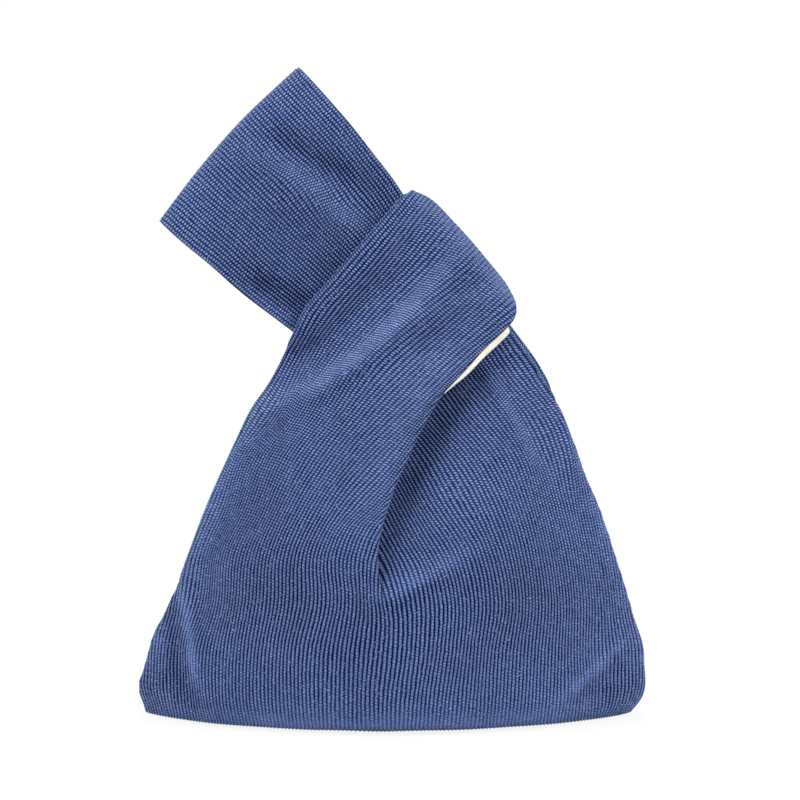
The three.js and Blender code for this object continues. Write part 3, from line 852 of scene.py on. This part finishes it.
# %% Pile of the ribbed cloth
# Tufts are this long and staggered by this share from rib to rib. They are faint at the base of the pouch
# and clear from the length along the ribs where the loops begin.
TUFT = 1.27
STAGGER = 0.4
TUFTS_START = 40
PANEL_RUN = 170.0
FAINTEST = 0.35
# Sizes of the noise that makes ribs waver, tufts drift, grooves fill with lint and fibres stand up.
WAVER_SIZE = 3
DRIFT_SIZE = 2.5
PATCH_SIZE = 5
FIBRE_SIZE = 0.5
NOISE_SPAN = (0.3, 0.7)
FILLED = (0.75, 1.05)
WAVER = 0.4
GROOVE_POWER = 2.0
PRESS_CLOSES = 0.5
TUFT_BRIDGES = 0.2
FIBRE_HEIGHT = 0.7
# Factor and offset: how far faint tufts drift, how much each one stands out, and how high the crowns are.
LOOSE = (-1.6, 1.8)
STANDING = (0.3, 0.2)
CROWN = (-0.14, 0.74)


def pile_height(tree, place, pressed_and_shaded):
    """Ribs by a cosine of the rib number, with narrow grooves that close or open by the press amounts, which
    are also painted light and shade. Each rib is a row of tufts by a cosine of the length, and every tuft
    has a height of its own."""
    spread = add(tree, "SeparateXYZ", [add(tree, "UVMap", uv_map="ribs")])
    across, along = spread.outputs["X"], spread.outputs["Y"]
    clearing = [along, TUFTS_START, PANEL_RUN, FAINTEST, 1]
    tufted = add(tree, "MapRange", clearing, interpolation_type="SMOOTHSTEP")
    wobble = add(tree, "TexNoise", {"Vector": place, "Scale": 1 / (WAVER_SIZE * MM), "Detail": 2})
    shift = add(tree, "MULTIPLY_ADD", [wobble, WAVER, -WAVER / 2])
    number = add(tree, "ADD", [across, shift])
    whole = add(tree, "ROUND", [number])
    aside = add(tree, "SUBTRACT", [number, whole])
    angle = add(tree, "MULTIPLY", [aside, TURN])
    wave = add(tree, "COSINE", [angle])
    groove = add(tree, "MULTIPLY_ADD", [wave, -0.5, 0.5])
    narrow = add(tree, "POWER", [groove, GROOVE_POWER])

    loose = add(tree, "MULTIPLY_ADD", [tufted, *LOOSE])
    drift = add(tree, "TexNoise", {"Vector": place, "Scale": 1 / (DRIFT_SIZE * MM), "Detail": 1})
    stagger = add(tree, "MULTIPLY", [whole, STAGGER])
    uneven = add(tree, "MULTIPLY_ADD", [drift, loose, stagger])
    phase = add(tree, "MULTIPLY_ADD", [along, 1 / TUFT, uneven])
    turned = add(tree, "MULTIPLY", [phase, TURN])
    swing = add(tree, "COSINE", [turned])
    beat = add(tree, "MULTIPLY", [swing, tufted])

    patch = add(tree, "TexNoise", {"Vector": place, "Scale": 1 / (PATCH_SIZE * MM), "Detail": 2})
    filled = add(tree, "MapRange", [patch, *NOISE_SPAN, *FILLED])
    closed = add(tree, "MULTIPLY_ADD", [pressed_and_shaded, -PRESS_CLOSES, filled])
    bridged = add(tree, "MULTIPLY_ADD", [beat, -TUFT_BRIDGES, closed])
    deep = add(tree, "MULTIPLY", [narrow, bridged])
    ridge = add(tree, "SUBTRACT", [1.0, deep])

    row = add(tree, "ROUND", [phase])
    spot = add(tree, "CombineXYZ", [whole, row])
    chance = add(tree, "TexWhiteNoise", {"Vector": spot}, noise_dimensions="2D")
    sized = add(tree, "MULTIPLY_ADD", [chance, *STANDING])
    crown = add(tree, "MULTIPLY_ADD", [tufted, *CROWN])
    tuft = add(tree, "MULTIPLY_ADD", [beat, sized, crown])
    fibre = add(tree, "TexNoise", {"Vector": place, "Scale": 1 / (FIBRE_SIZE * MM), "Detail": 3})
    rough = add(tree, "MULTIPLY_ADD", [fibre, FIBRE_HEIGHT, -FIBRE_HEIGHT / 2])
    return add(tree, "MULTIPLY_ADD", [ridge, tuft, rough])


print("a tuft is", TUFT, "mm long on a rib", RIB_PITCH, "mm wide")

# %% Ribbed cloth finish
# Colours by pile height: darker ground and painted shade in the grooves, pale tufts on top.
PILE_AND_GROOVE_SHADE_STOPS = ((0.0, "#020B3C"), (0.5, "#384E83"), (1.0, "#90A0C5"))
CLOUD_SIZE = 45
LINT_SIZE = 0.7
LINT_FROM = (0.76, 0.8)
LINT_COVERS = 0.5
WORN = (0.9, 1.1)
# How much the press amounts lighten or darken the colour: painted light and painted shade.
PAINTED_LIGHT_FROM_PRESS = 0.16


def ribbed_cloth():
    """The pile's height gives the bump and the colour: dark in the grooves, which is partly painted shade,
    and pale on the tufts. Broad random clouds change its brightness a little, the press amounts add painted
    light and painted shade, and lint lies on it in flecks."""
    material, tree, shader = new_material("cotton corduroy")
    place = add(tree, "TexCoord").outputs["Object"]
    pressed_and_shaded = add(tree, "SeparateXYZ", [add(tree, "UVMap", uv_map="press_and_shade")])
    pile = pile_height(tree, place, pressed_and_shaded)
    ramp = add(tree, "ValToRGB", [pile])
    set_stops(ramp, PILE_AND_GROOVE_SHADE_STOPS)
    cloud = add(tree, "TexNoise", {"Vector": place, "Scale": 1 / (CLOUD_SIZE * MM), "Detail": 3})
    worn = add(tree, "MapRange", [cloud, *NOISE_SPAN, *WORN])
    # Painted light and shade: the press amounts lighten or darken the broad random tone.
    tone_and_painted_light = add(tree, "MULTIPLY_ADD", [pressed_and_shaded, PAINTED_LIGHT_FROM_PRESS, worn])
    shade = add(tree, "HueSaturation", {"Value": tone_and_painted_light, "Color": ramp})
    speck = add(tree, "TexNoise", {"Vector": place, "Scale": 1 / (LINT_SIZE * MM), "Detail": 0})
    lint = add(tree, "MapRange", [speck, *LINT_FROM, 0, LINT_COVERS])
    flecked = add(tree, "Mix", {"Factor": lint, 6: shade, 7: linear("#B9C4E2")}, data_type="RGBA")
    bump = add(tree, "Bump", {"Height": pile, "Strength": 0.6, "Distance": 0.4 * MM})
    fill(tree, shader, {
        "Base Color": flecked.outputs[2], "Normal": bump, "Roughness": 0.95, "Specular IOR Level": 0.08,
        "Sheen Weight": 0.35, "Sheen Roughness": 0.35, "Sheen Tint": linear("#B4C2EC"),
    })
    return material


cloth = ribbed_cloth()
print("made", cloth.name)

# %% [markdown]
# ## Dress the pouch
#
# The two panels take the places of the front and back solids. They could be one sheet folded at the base,
# but a bag is sewn from two, and so each can be moved and replaced on its own.

# %% Front and back
for end, side in SIDES.items():
    *shape, pressed_and_shaded = POUCH[end]
    grid, ribs, run = rolled(*panel(side, PER_RIB, BASE_ROWS, OUTER, *shape), side)
    ribs = sway(ribs, run)
    points = ribbed(grid, ribs, side, ROLL_ROWS)
    # Press amounts; in the finish they are also painted light and painted shade.
    press_and_shade = folded(grid[..., [0, 2]], pressed_and_shaded)
    piece = make_piece(end + "_cloth", points, ribs, run, cloth, side == BACK, press_and_shade)
    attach(piece, "bag")
    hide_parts(end + "_panel")

# %% [markdown]
# ## The long loop
#
# The long loop is a strap of two layers, sewn together only at its top. It comes out of the short loop,
# is pinched there, and opens again where the wrist goes through. It could be one with the panels, as on
# the real bag, but it moves, so it is a grid of its own that starts inside the knot.

# %% Folds of the long loop
# Painted light along the top of the long loop, given as a press amount.
STRAP_TOP_PAINTED_LIGHT = [([(-120, 195), (-101, 214), (-72, 246), (-41, 276), (-20, 296)], 15, 0.2)]
# Press amounts of the long loop's front, which are also painted light on its ridges and painted shade in its
# hollows and near the knot.
STRAP_PRESS_AND_PAINTED_LIGHT = STRAP_TOP_PAINTED_LIGHT + [
    ([(-52, 237), (-42, 232), (-31.5, 224.5), (-24, 216.5), (-4, 205)], 5.5, 0.9),
    ([(-60, 181), (-47, 173), (-38, 167)], 3, 0.7),
    ([(-54, 252), (-34, 239), (-21.7, 232.5), (-6.9, 224.4)], 5, -0.6),
    ([(-62, 190), (-46, 172), (-30, 190), (-12, 208), (4, 226), (12, 234)], 9, -0.6),
    ([(-66, 195), (-47, 183.5), (-34, 176)], 5, -0.9),
]
STRAP_FOLDS = [
    ([(-54, 252), (-46, 246.5), (-34, 239), (-21.7, 232.5), (-6.9, 224.4)], 6, -5),
    ([(-54, 237), (-42, 233), (-31.5, 225.5), (-24, 217.5), (-8.6, 208)], 6, 2.8),
    ([(-50, 217), (-34, 204), (-20, 190)], 9, -2.4),
    ([(-62, 188), (-54, 183.4), (-35, 175)], 4, -3.6),
    ([(-62, 181), (-52, 174.5), (-41, 167.5)], 3, 2.4),
]
STRAP_GATHERS = [([(-60, 237), (-41.3, 233.3), (-31.5, 226), (-25, 218.6), (-8.6, 210.4)], 6, 0.4)]
# Places where the ribs are pulled aside: the middle, how far, and the reach.
STRAP_PULLS = [((-37, 231), (1.5, 1.5), 9), ((-23, 216), (-1.6, -1.6), 8)]
STRAP_BACK_FOLDS = [
    ([(-56, 217), (-39.4, 206.8), (-20, 200)], 4.5, -1.6),
    ([(-84, 222), (-62, 207), (-40, 192)], 5, 1.3),
    ([(-46, 240), (-30, 226), (-12, 208)], 3.5, 2),
]
# The folds of each layer, its gathers, its pulls and its press amounts, which also paint light and shade.
STRAP = {
    "front": (STRAP_FOLDS, STRAP_GATHERS, STRAP_PULLS, STRAP_PRESS_AND_PAINTED_LIGHT),
    "back": (STRAP_BACK_FOLDS, [], [], STRAP_TOP_PAINTED_LIGHT),
}
print("the long loop has", len(STRAP_FOLDS), "folds in front and", len(STRAP_BACK_FOLDS), "behind")

# %% Long loop grid
LONG_LENGTHS = [-1.8, 20, 38, 46, 60, 75, 92, 111]
UPPER_EDGE = [-34.5, -34.8, -36.4, -38, -39.6, -41.2, -42.4, -43.3]
LOWER_EDGE = [34.6, 35.6, 37.8, 39, 40.6, 41.4, 43, 43.8]
LONG_END = ([-45, -31, -12, 16, 45], [109, 109.7, 110.2, 108.5, 104.7])
LONG_SWELL = ([-1.8, 25, 36, 43.5, 52, 62, 78, 92, 112], [5.1, 5.1, 3.6, 2.3, 4, 8.2, 12.5, 12.5, 10])
LONG_RIBS = 46
SIDE_THINNING = 0.18
LEAST_DEPTH = 0.8
DEPTH_BLEND = 1
STRAP_ANGLES = np.array([40, 80, 120, 165])
EDGE_RIBS = np.array([0.35, 0.7, 1.05, 1.4])


def loop_point(along, across, angle):
    """The x and z at lengths along and across a loop from the knot's middle."""
    x = KNOT[0] + along * math.cos(angle) - across * math.sin(angle)
    return x, KNOT[1] + along * math.sin(angle) + across * math.cos(angle)


def long_loop(side, per_rib, row_count, roll, folds, gathers, pulls):
    """Strap grid: along and across lengths from the knot, and the swell of its layer, closed at the top.
    Gives points, rib numbers, lengths along the ribs, and the radius left for rolled edges."""
    share = np.arange(LONG_RIBS * per_rib + 1) / (LONG_RIBS * per_rib)
    end = through(*LONG_END, LOWER_EDGE[-1] + share * (UPPER_EDGE[-1] - LOWER_EDGE[-1]))
    along = LONG_LENGTHS[0] + climb(row_count)[:, None] * (end - LONG_LENGTHS[0])
    low, high = through(LONG_LENGTHS, LOWER_EDGE, along), through(LONG_LENGTHS, UPPER_EDGE, along)
    opening = quarter((end - along) / CLOSING)
    across = low + share * (high - low) + (1 - 2 * share) * roll * (1 - opening)
    flat = np.stack(loop_point(along, across, LONG_ANGLE), -1)
    for centre, shift, reach in pulls:
        flat = flat + bell(np.linalg.norm(flat - centre, axis=-1), reach)[..., None] * shift
    flat = gathered(flat, gathers)
    crown = 1 - SIDE_THINNING * (2 * share - 1) ** 2
    depth = through(*LONG_SWELL, along) * crown + folded(flat, folds)
    depth = np.maximum(soft_max(depth, LEAST_DEPTH, DEPTH_BLEND) * opening, SEAM_GAP)
    grid = np.stack([flat[..., 0], side * depth, flat[..., 1]], -1)
    return grid, np.repeat(share[None] * LONG_RIBS, row_count, 0), along, roll * opening


def rolled_strap(side, grid, ribs, run, radius):
    """The strap with both long edges rolled under: points, rib numbers and lengths along the ribs."""
    aside = np.array([-math.sin(LONG_ANGLE), 0, math.cos(LONG_ANGLE)])
    first = turned_edge(grid[None, :, 0], aside, side, radius[None, :, :1], STRAP_ANGLES[::-1])
    last = turned_edge(grid[None, :, -1], -aside, side, radius[None, :, -1:], STRAP_ANGLES)
    grid = np.concatenate([first.swapaxes(0, 1), grid, last.swapaxes(0, 1)], 1)
    ribs = np.concatenate([ribs[:, :1] - EDGE_RIBS[::-1], ribs, ribs[:, -1:] + EDGE_RIBS], 1)
    return grid, ribs, np.pad(run, ((0, 0), (len(STRAP_ANGLES),) * 2), "edge")


print("the long loop has", LONG_RIBS, "ribs")

# %% Long loop cloth
STRAP_ROWS = 76
STRAP_ROLL = 1.2


def bend_with_crease(piece):
    """Bakes the piece's transform into its mesh; the whole strap stays as it was drawn and does not fold."""
    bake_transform(piece)


for end, side in SIDES.items():
    *shape, pressed_and_shaded = STRAP[end]
    grid, ribs, run = rolled_strap(side, *long_loop(side, PER_RIB, STRAP_ROWS, STRAP_ROLL, *shape))
    ribs = sway(ribs, run)
    # Press amounts; in the finish they are also painted light and painted shade.
    press_and_shade = folded(grid[..., [0, 2]], pressed_and_shaded)
    points = ribbed(grid, ribs, side)
    name = "long_loop_" + end + "_cloth"
    piece = make_piece(name, points, ribs, run + PANEL_RUN, cloth, side == BACK, press_and_shade)
    bend_with_crease(piece)
    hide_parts("drawn_strap_" + end, "handle_" + end)

# %% [markdown]
# ## Lining
#
# The lining is plain cream cotton. It is a coarser copy of each panel a little further in, facing the
# inside. Along the mouth edge of the short loop it rolls out and shows as a narrow band. A solidify
# modifier could make an inner layer, but then the band and the lining's own finish would be missing.

# %% Lining finish
# Real threads are about a third of this, too fine to show, so the weave is drawn coarser.
WEAVE_SIZE = 0.8
WEAVE_STOPS = ((0.3, "#DDD7C0"), (0.7, "#F4F1E4"))


def cotton_lining():
    """Plain cotton: fine noise, less than a millimetre wide, as a faint shade and bump."""
    material, tree, shader = new_material("plain cotton")
    place = add(tree, "TexCoord").outputs["Object"]
    weave = add(tree, "TexNoise", {"Vector": place, "Scale": 1 / (WEAVE_SIZE * MM), "Detail": 2})
    ramp = add(tree, "ValToRGB", [weave])
    set_stops(ramp, WEAVE_STOPS)
    bump = add(tree, "Bump", {"Height": weave, "Strength": 0.4, "Distance": 0.2 * MM})
    fill(tree, shader, {"Base Color": ramp, "Normal": bump, "Roughness": 0.85, "Specular IOR Level": 0.2})
    return material


cotton = cotton_lining()
print("made", cotton.name)

# %% Lining of the pouch
LINING_PER_RIB = 2
LINING_BASE_ROWS = 8
LINING_OUTER = (10, 15)
LINING_INSET = 1.5
LINING_GAP = 0.04
# Columns that collapse have shorter normals than this and take those of the edge beside them.
COLLAPSED = 0.5
# Round the pleat's foot the lining keeps farther away, and along the crest it stops short of the edge.
FOOT = np.array([-3.5, 0, 63.0])
FOOT_INSET = 2.5
FOOT_REACH = 12
SHORT_ROWS = 14
SHORT_OVER = (18.4, 14)
# Beside the mouth the inset is straight back, and a band peeps out past the rolled edge of the cloth.
FACING = np.array([0, -1.0, 0])
FACING_STARTS = (15, 17.5)
FACING_ENDS = (28, 25)
PEEP = ([0, 18.8, 19.6, 20.6, 21.3, 21.5, 58], [0, 0, 1.8, 2.6, 2.4, 0, 0])
LEAST_PEEP = 0.2
BAND_ANGLES = np.radians([180, 150, 120, 90, 60, 30, 0])[:, None, None]
BAND_HALF = 0.9
BAND_BEHIND = 0.3


def lining(side, *shape):
    """The panel's grid moved inwards along its normals. At the mouth a narrow half round band stands out
    past the rolled edge of the cloth, and along the pleat's crest it ends short of the edge."""
    grid, ribs = panel(side, LINING_PER_RIB, LINING_BASE_ROWS, LINING_OUTER, *shape)
    normals = normals_of(grid)
    left_edge = LINING_OUTER[0]
    right_edge = grid.shape[1] - LINING_OUTER[1] - 1
    for columns, edge in ((slice(0, left_edge), left_edge), (slice(right_edge + 1, None), right_edge)):
        none = np.linalg.norm(normals[:, columns], axis=-1, keepdims=True) < COLLAPSED
        normals[:, columns] = np.where(none, normals[:, edge:edge + 1], normals[:, columns])
    by_mouth = ease(-ribs[-1], *FACING_STARTS) * ease(-ribs[-1], *FACING_ENDS)
    normals = unit(normals + by_mouth[:, None] * (FACING - normals))
    from_foot = np.linalg.norm((grid - FOOT)[..., [0, 2]], axis=-1, keepdims=True)
    inner = grid + side * (LINING_INSET + FOOT_INSET * bell(from_foot, FOOT_REACH)) * normals
    inner[..., 1] = side * np.maximum(side * inner[..., 1], LINING_GAP)
    numbers = np.clip(-ribs[-1], 0, LAST_LEFT)
    short = np.round(SHORT_ROWS * ease(numbers, *SHORT_OVER)).astype(int) * (ribs[-1] <= 0)
    row = np.minimum(np.arange(len(inner))[:, None], len(inner) - 1 - short)
    inner = np.take_along_axis(inner, row[..., None], 0)

    out = top_directions(numbers)
    inward = np.array([0, -side, 0])
    peep = (np.interp(numbers, *PEEP) * (ribs[-1] < 0))[:, None]
    roll = edge_roll(numbers)[:, None]
    lip = grid[-1] + roll * out + (roll - BAND_BEHIND) * inward
    band = lip + peep * np.sin(BAND_ANGLES) * out + BAND_HALF * (1 - np.cos(BAND_ANGLES)) * inward
    shown = np.clip(peep / LEAST_PEEP, 0, 1)
    rows = np.concatenate([inner, inner[-1] + shown * (band - inner[-1])])
    return rows, np.concatenate([ribs, np.repeat(ribs[-1:], len(band), 0)]), lengths_of(rows)


for end, side in SIDES.items():
    piece = make_piece(end + "_lining_cloth", *lining(side, *POUCH[end][:-1]), cotton, side == FRONT)
    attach(piece, "bag")
    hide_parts(end + "_lining")

# %% Lining of the long loop
STRAP_LINING_ROWS = 40
STRAP_LINING_PER_RIB = 1
NO_ROLL = 0.0
for end, side in SIDES.items():
    made = long_loop(side, STRAP_LINING_PER_RIB, STRAP_LINING_ROWS, NO_ROLL, *STRAP[end][:-1])
    grid, ribs, run = made[:3]
    grid[..., 1] -= side * np.minimum(LINING_INSET, np.abs(grid[..., 1]) - LINING_GAP)
    piece = make_piece("long_loop_" + end + "_lining", grid, ribs, run, cotton, side == FRONT)
    bend_with_crease(piece)
    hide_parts("drawn_strap_" + end + "_lining", "handle_" + end + "_lining")

# %% [markdown]
# ## Seams
#
# The panels are sewn together at the base, at the sides and at the tops of the loops, and the lining has
# seams of its own. Each is a fine three-ply thread. A bevelled curve would give a plain round cord, so a
# tube is worked out along the seam: its radius swells three times round it, and that turns as it runs.


# %% Thread finish
def sewing_thread(name, dark, light):
    """Cotton thread: plies a millimetre long, painted shade between them and painted light on top, by length
    and angle.
    """
    material, tree, shader = new_material(name)
    spread = add(tree, "SeparateXYZ", [add(tree, "UVMap", uv_map="ribs")])
    twist = add(tree, "MULTIPLY_ADD", [spread.outputs["Y"], TURN, spread.outputs["X"]])
    # Painted shade between the plies and painted light on their tops.
    ply = add(tree, "COSINE", [twist])
    lift = add(tree, "MULTIPLY_ADD", [ply, 0.5, 0.5])
    colour = add(tree, "Mix", {"Factor": lift, 6: linear(dark), 7: linear(light)}, data_type="RGBA")
    fill(tree, shader, {"Base Color": colour.outputs[2], "Roughness": 0.75})
    return material


blue_thread = sewing_thread("blue cotton thread", "#22346C", "#6D80B4")
cream_thread = sewing_thread("cream cotton thread", "#D2CBB2", "#F3EFE0")
print("made", blue_thread.name, "and", cream_thread.name)

# %% Seam threads
THREAD_RADIUS = 0.42
THREAD_SIDES = 8
THREAD_STEP = 0.7
PLIES = 3
PLY_SWELL = 0.2
SEAM_POINTS = 60
LINING_IN = 1.9
SIDE_BOTTOM = 1
LEFT_SIDE_TOP = 158
LEFT_SIDE_POINTS = 120
RIGHT_SIDE_TOP = 134
RIGHT_SIDE_POINTS = 110
# Both ends of a base seam and its height, for the cloth and for the lining.
BASE_SEAM = (-103, 102, 0.45)
LINING_BASE = (-100, 99, 2.3)


def thread_along(x, z):
    """Tube round a path in the middle plane: radius times (1 + a fifth of the cosine of three plies)."""
    path = np.stack([x, 0 * x, z + 0 * x], 1)
    run = lengths_of(path)
    count = int(run[-1] / THREAD_STEP) + 2
    even = np.linspace(0, run[-1], count)
    points = np.stack([np.interp(even, run, path[:, i]) for i in range(3)], 1)
    back_way = np.array([0, 1.0, 0])
    side_way = np.cross(unit(np.gradient(points, axis=0))[:, None], back_way)
    angle = np.linspace(0, TURN, THREAD_SIDES + 1)[None, :, None]
    radius = THREAD_RADIUS * (1 + PLY_SWELL * np.cos(PLIES * angle - TURN * even[:, None, None]))
    grid = points[:, None] + radius * (np.cos(angle) * back_way + np.sin(angle) * side_way)
    around = np.repeat(PLIES * angle[..., 0], count, 0)
    return grid, -around, np.repeat(even[:, None], THREAD_SIDES + 1, 1)


left_z = np.linspace(SIDE_BOTTOM, LEFT_SIDE_TOP, LEFT_SIDE_POINTS)
left_x = across_at(LEFT_OUTLINE, left_z)
right_z = np.linspace(SIDE_BOTTOM, RIGHT_SIDE_TOP, RIGHT_SIDE_POINTS)
right_x = across_at(RIGHT_OUTLINE, right_z)
short_x, short_z = edge_at(LEFT_TOP, np.linspace(SHUT_RIBS[1], LAST_LEFT, SEAM_POINTS)).T
long_across = np.linspace(LOWER_EDGE[-1], UPPER_EDGE[-1], SEAM_POINTS)
long_x, long_z = loop_point(through(*LONG_END, long_across), long_across, LONG_ANGLE)
in_short = LINING_IN * np.array([math.cos(SHORT_ANGLE), math.sin(SHORT_ANGLE)])
in_long = LINING_IN * np.array([math.cos(LONG_ANGLE), math.sin(LONG_ANGLE)])
# The lining's side seams start higher and end lower than the cloth's.
left_part = slice(8, -16)
right_part = slice(8, -6)
seams = {
    "left_side_seam": (left_x + THREAD_RADIUS, left_z),
    "right_side_seam": (right_x - THREAD_RADIUS, right_z),
    "base_seam": (np.linspace(*BASE_SEAM[:2], SEAM_POINTS), BASE_SEAM[2]),
    "short_loop_seam": (short_x, short_z),
    "long_loop_seam": (long_x, long_z),
    "lining_left_side_seam": (left_x[left_part] + LINING_IN, left_z[left_part]),
    "lining_right_side_seam": (right_x[right_part] - LINING_IN, right_z[right_part]),
    "lining_base_seam": (np.linspace(*LINING_BASE[:2], SEAM_POINTS), LINING_BASE[2]),
    "lining_short_loop_seam": (short_x - in_short[0], short_z - in_short[1]),
    "lining_long_loop_seam": (long_x - in_long[0], long_z - in_long[1]),
}
for node, path in seams.items():
    inner = node.startswith("lining")
    piece = make_piece(node + "_thread", *thread_along(*path), cream_thread if inner else blue_thread)
    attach(piece, "long_handle" if "long_loop" in node else "bag")
    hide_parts(node)

# %% [markdown]
# ## Floor and light
#
# The bag stands on white paper in an even white room, under two large soft lamps in front and one behind.
# A plain white background would show no shadow. So the floor is white to the camera, a little less near
# the bag, and it still takes part in the light.

# %% Floor
SWEEP_START = 1300
SWEEP_RADIUS = 900
SWEEP_STEPS = 16
FLOOR_HALF = 5000
FLOOR_DROP = -0.4
# Metres from the middle over which the paper becomes fully white, and how white it is before and after.
PALER = (0.2, 0.8)
PALENESS = (0.86, 1)


def seen_directly(tree):
    """1 for rays from the camera, from a gloss or through glass, and 0 for rays that carry light."""
    path = add(tree, "LightPath")
    direct = add(tree, "ADD", [path.outputs["Is Camera Ray"], path.outputs["Is Glossy Ray"]])
    return add(tree, "ADD", [direct, path.outputs["Is Transmission Ray"]], use_clamp=True)


paper, tree, shader = new_material("white paper")
fill(tree, shader, {"Base Color": linear("#FAFAFA"), "Roughness": 0.9})
place = add(tree, "TexCoord").outputs["Object"]
away = add(tree, "VectorMath", [place], operation="LENGTH").outputs["Value"]
pale = add(tree, "MapRange", [away, *PALER, *PALENESS])
seen = add(tree, "MULTIPLY", [seen_directly(tree), pale])
glow = add(tree, "Emission", {"Color": (1, 1, 1, 1), "Strength": 1.0})
mixed = add(tree, "MixShader", [seen, shader, glow])
fill(tree, tree.nodes["Material Output"], {"Surface": mixed})
bend = np.linspace(0, math.pi / 2, SWEEP_STEPS)
sweep_y = np.r_[-FLOOR_HALF, SWEEP_START + SWEEP_RADIUS * np.sin(bend), SWEEP_START + SWEEP_RADIUS]
sweep_z = np.r_[0, SWEEP_RADIUS * (1 - np.cos(bend)), FLOOR_HALF] + FLOOR_DROP
sweep = np.stack([np.stack([x + 0 * sweep_y, sweep_y, sweep_z], 1) for x in (-FLOOR_HALF, FLOOR_HALF)], 1)
make_piece("floor", sweep, sweep[..., 0], sweep[..., 1], paper)

# %% Room and lamps
ROOM_LIGHT = 0.4
LAMP_SIZE = 0.5
LAMP_AIM = Vector((0, 0, 0.13))
LAMPS = {
    "left_softbox": ((-0.55, -0.3, 0.62), 4.45),
    "right_softbox": ((0.55, -0.3, 0.62), 4.45),
    "back_softbox": ((0, 0.6, 0.85), 4.5),
}
room = bpy.data.worlds.new("room")
scene.world = room
room.use_nodes = True
tree = room.node_tree
tree.nodes.clear()
level = add(tree, "MULTIPLY_ADD", [seen_directly(tree), 1 - ROOM_LIGHT, ROOM_LIGHT])
air = add(tree, "Background", {"Color": (1, 1, 1, 1), "Strength": level})
add(tree, "OutputWorld", {"Surface": air})
for name, (place, power) in LAMPS.items():
    lamp_data = bpy.data.lights.new(name, "AREA")
    lamp_data.shape = "RECTANGLE"
    lamp_data.size = LAMP_SIZE
    lamp_data.size_y = LAMP_SIZE
    lamp_data.energy = power
    lamp = bpy.data.objects.new(name, lamp_data)
    lamp.location = place
    lamp.rotation_euler = (LAMP_AIM - lamp.location).to_track_quat("-Z", "Y").to_euler()
    scene.collection.objects.link(lamp)
scene.view_settings.view_transform = "Standard"
print("lit by", ", ".join(LAMPS))

# %% [markdown]
# ## Cloth sheets
#
# Every layer was cut from flat cloth. Whoever drapes it again needs the flat size, the area that is left
# after cutting, how the cloth is held and what it rests on. The last lines only look up each sheet in turn.

# %% Sheets
for end in SIDES:
    piece = pieces[end + "_cloth"]
for end in SIDES:
    piece = pieces[end + "_lining_cloth"]
for end in SIDES:
    piece = pieces["long_loop_" + end + "_cloth"]
for end in SIDES:
    piece = pieces["long_loop_" + end + "_lining"]
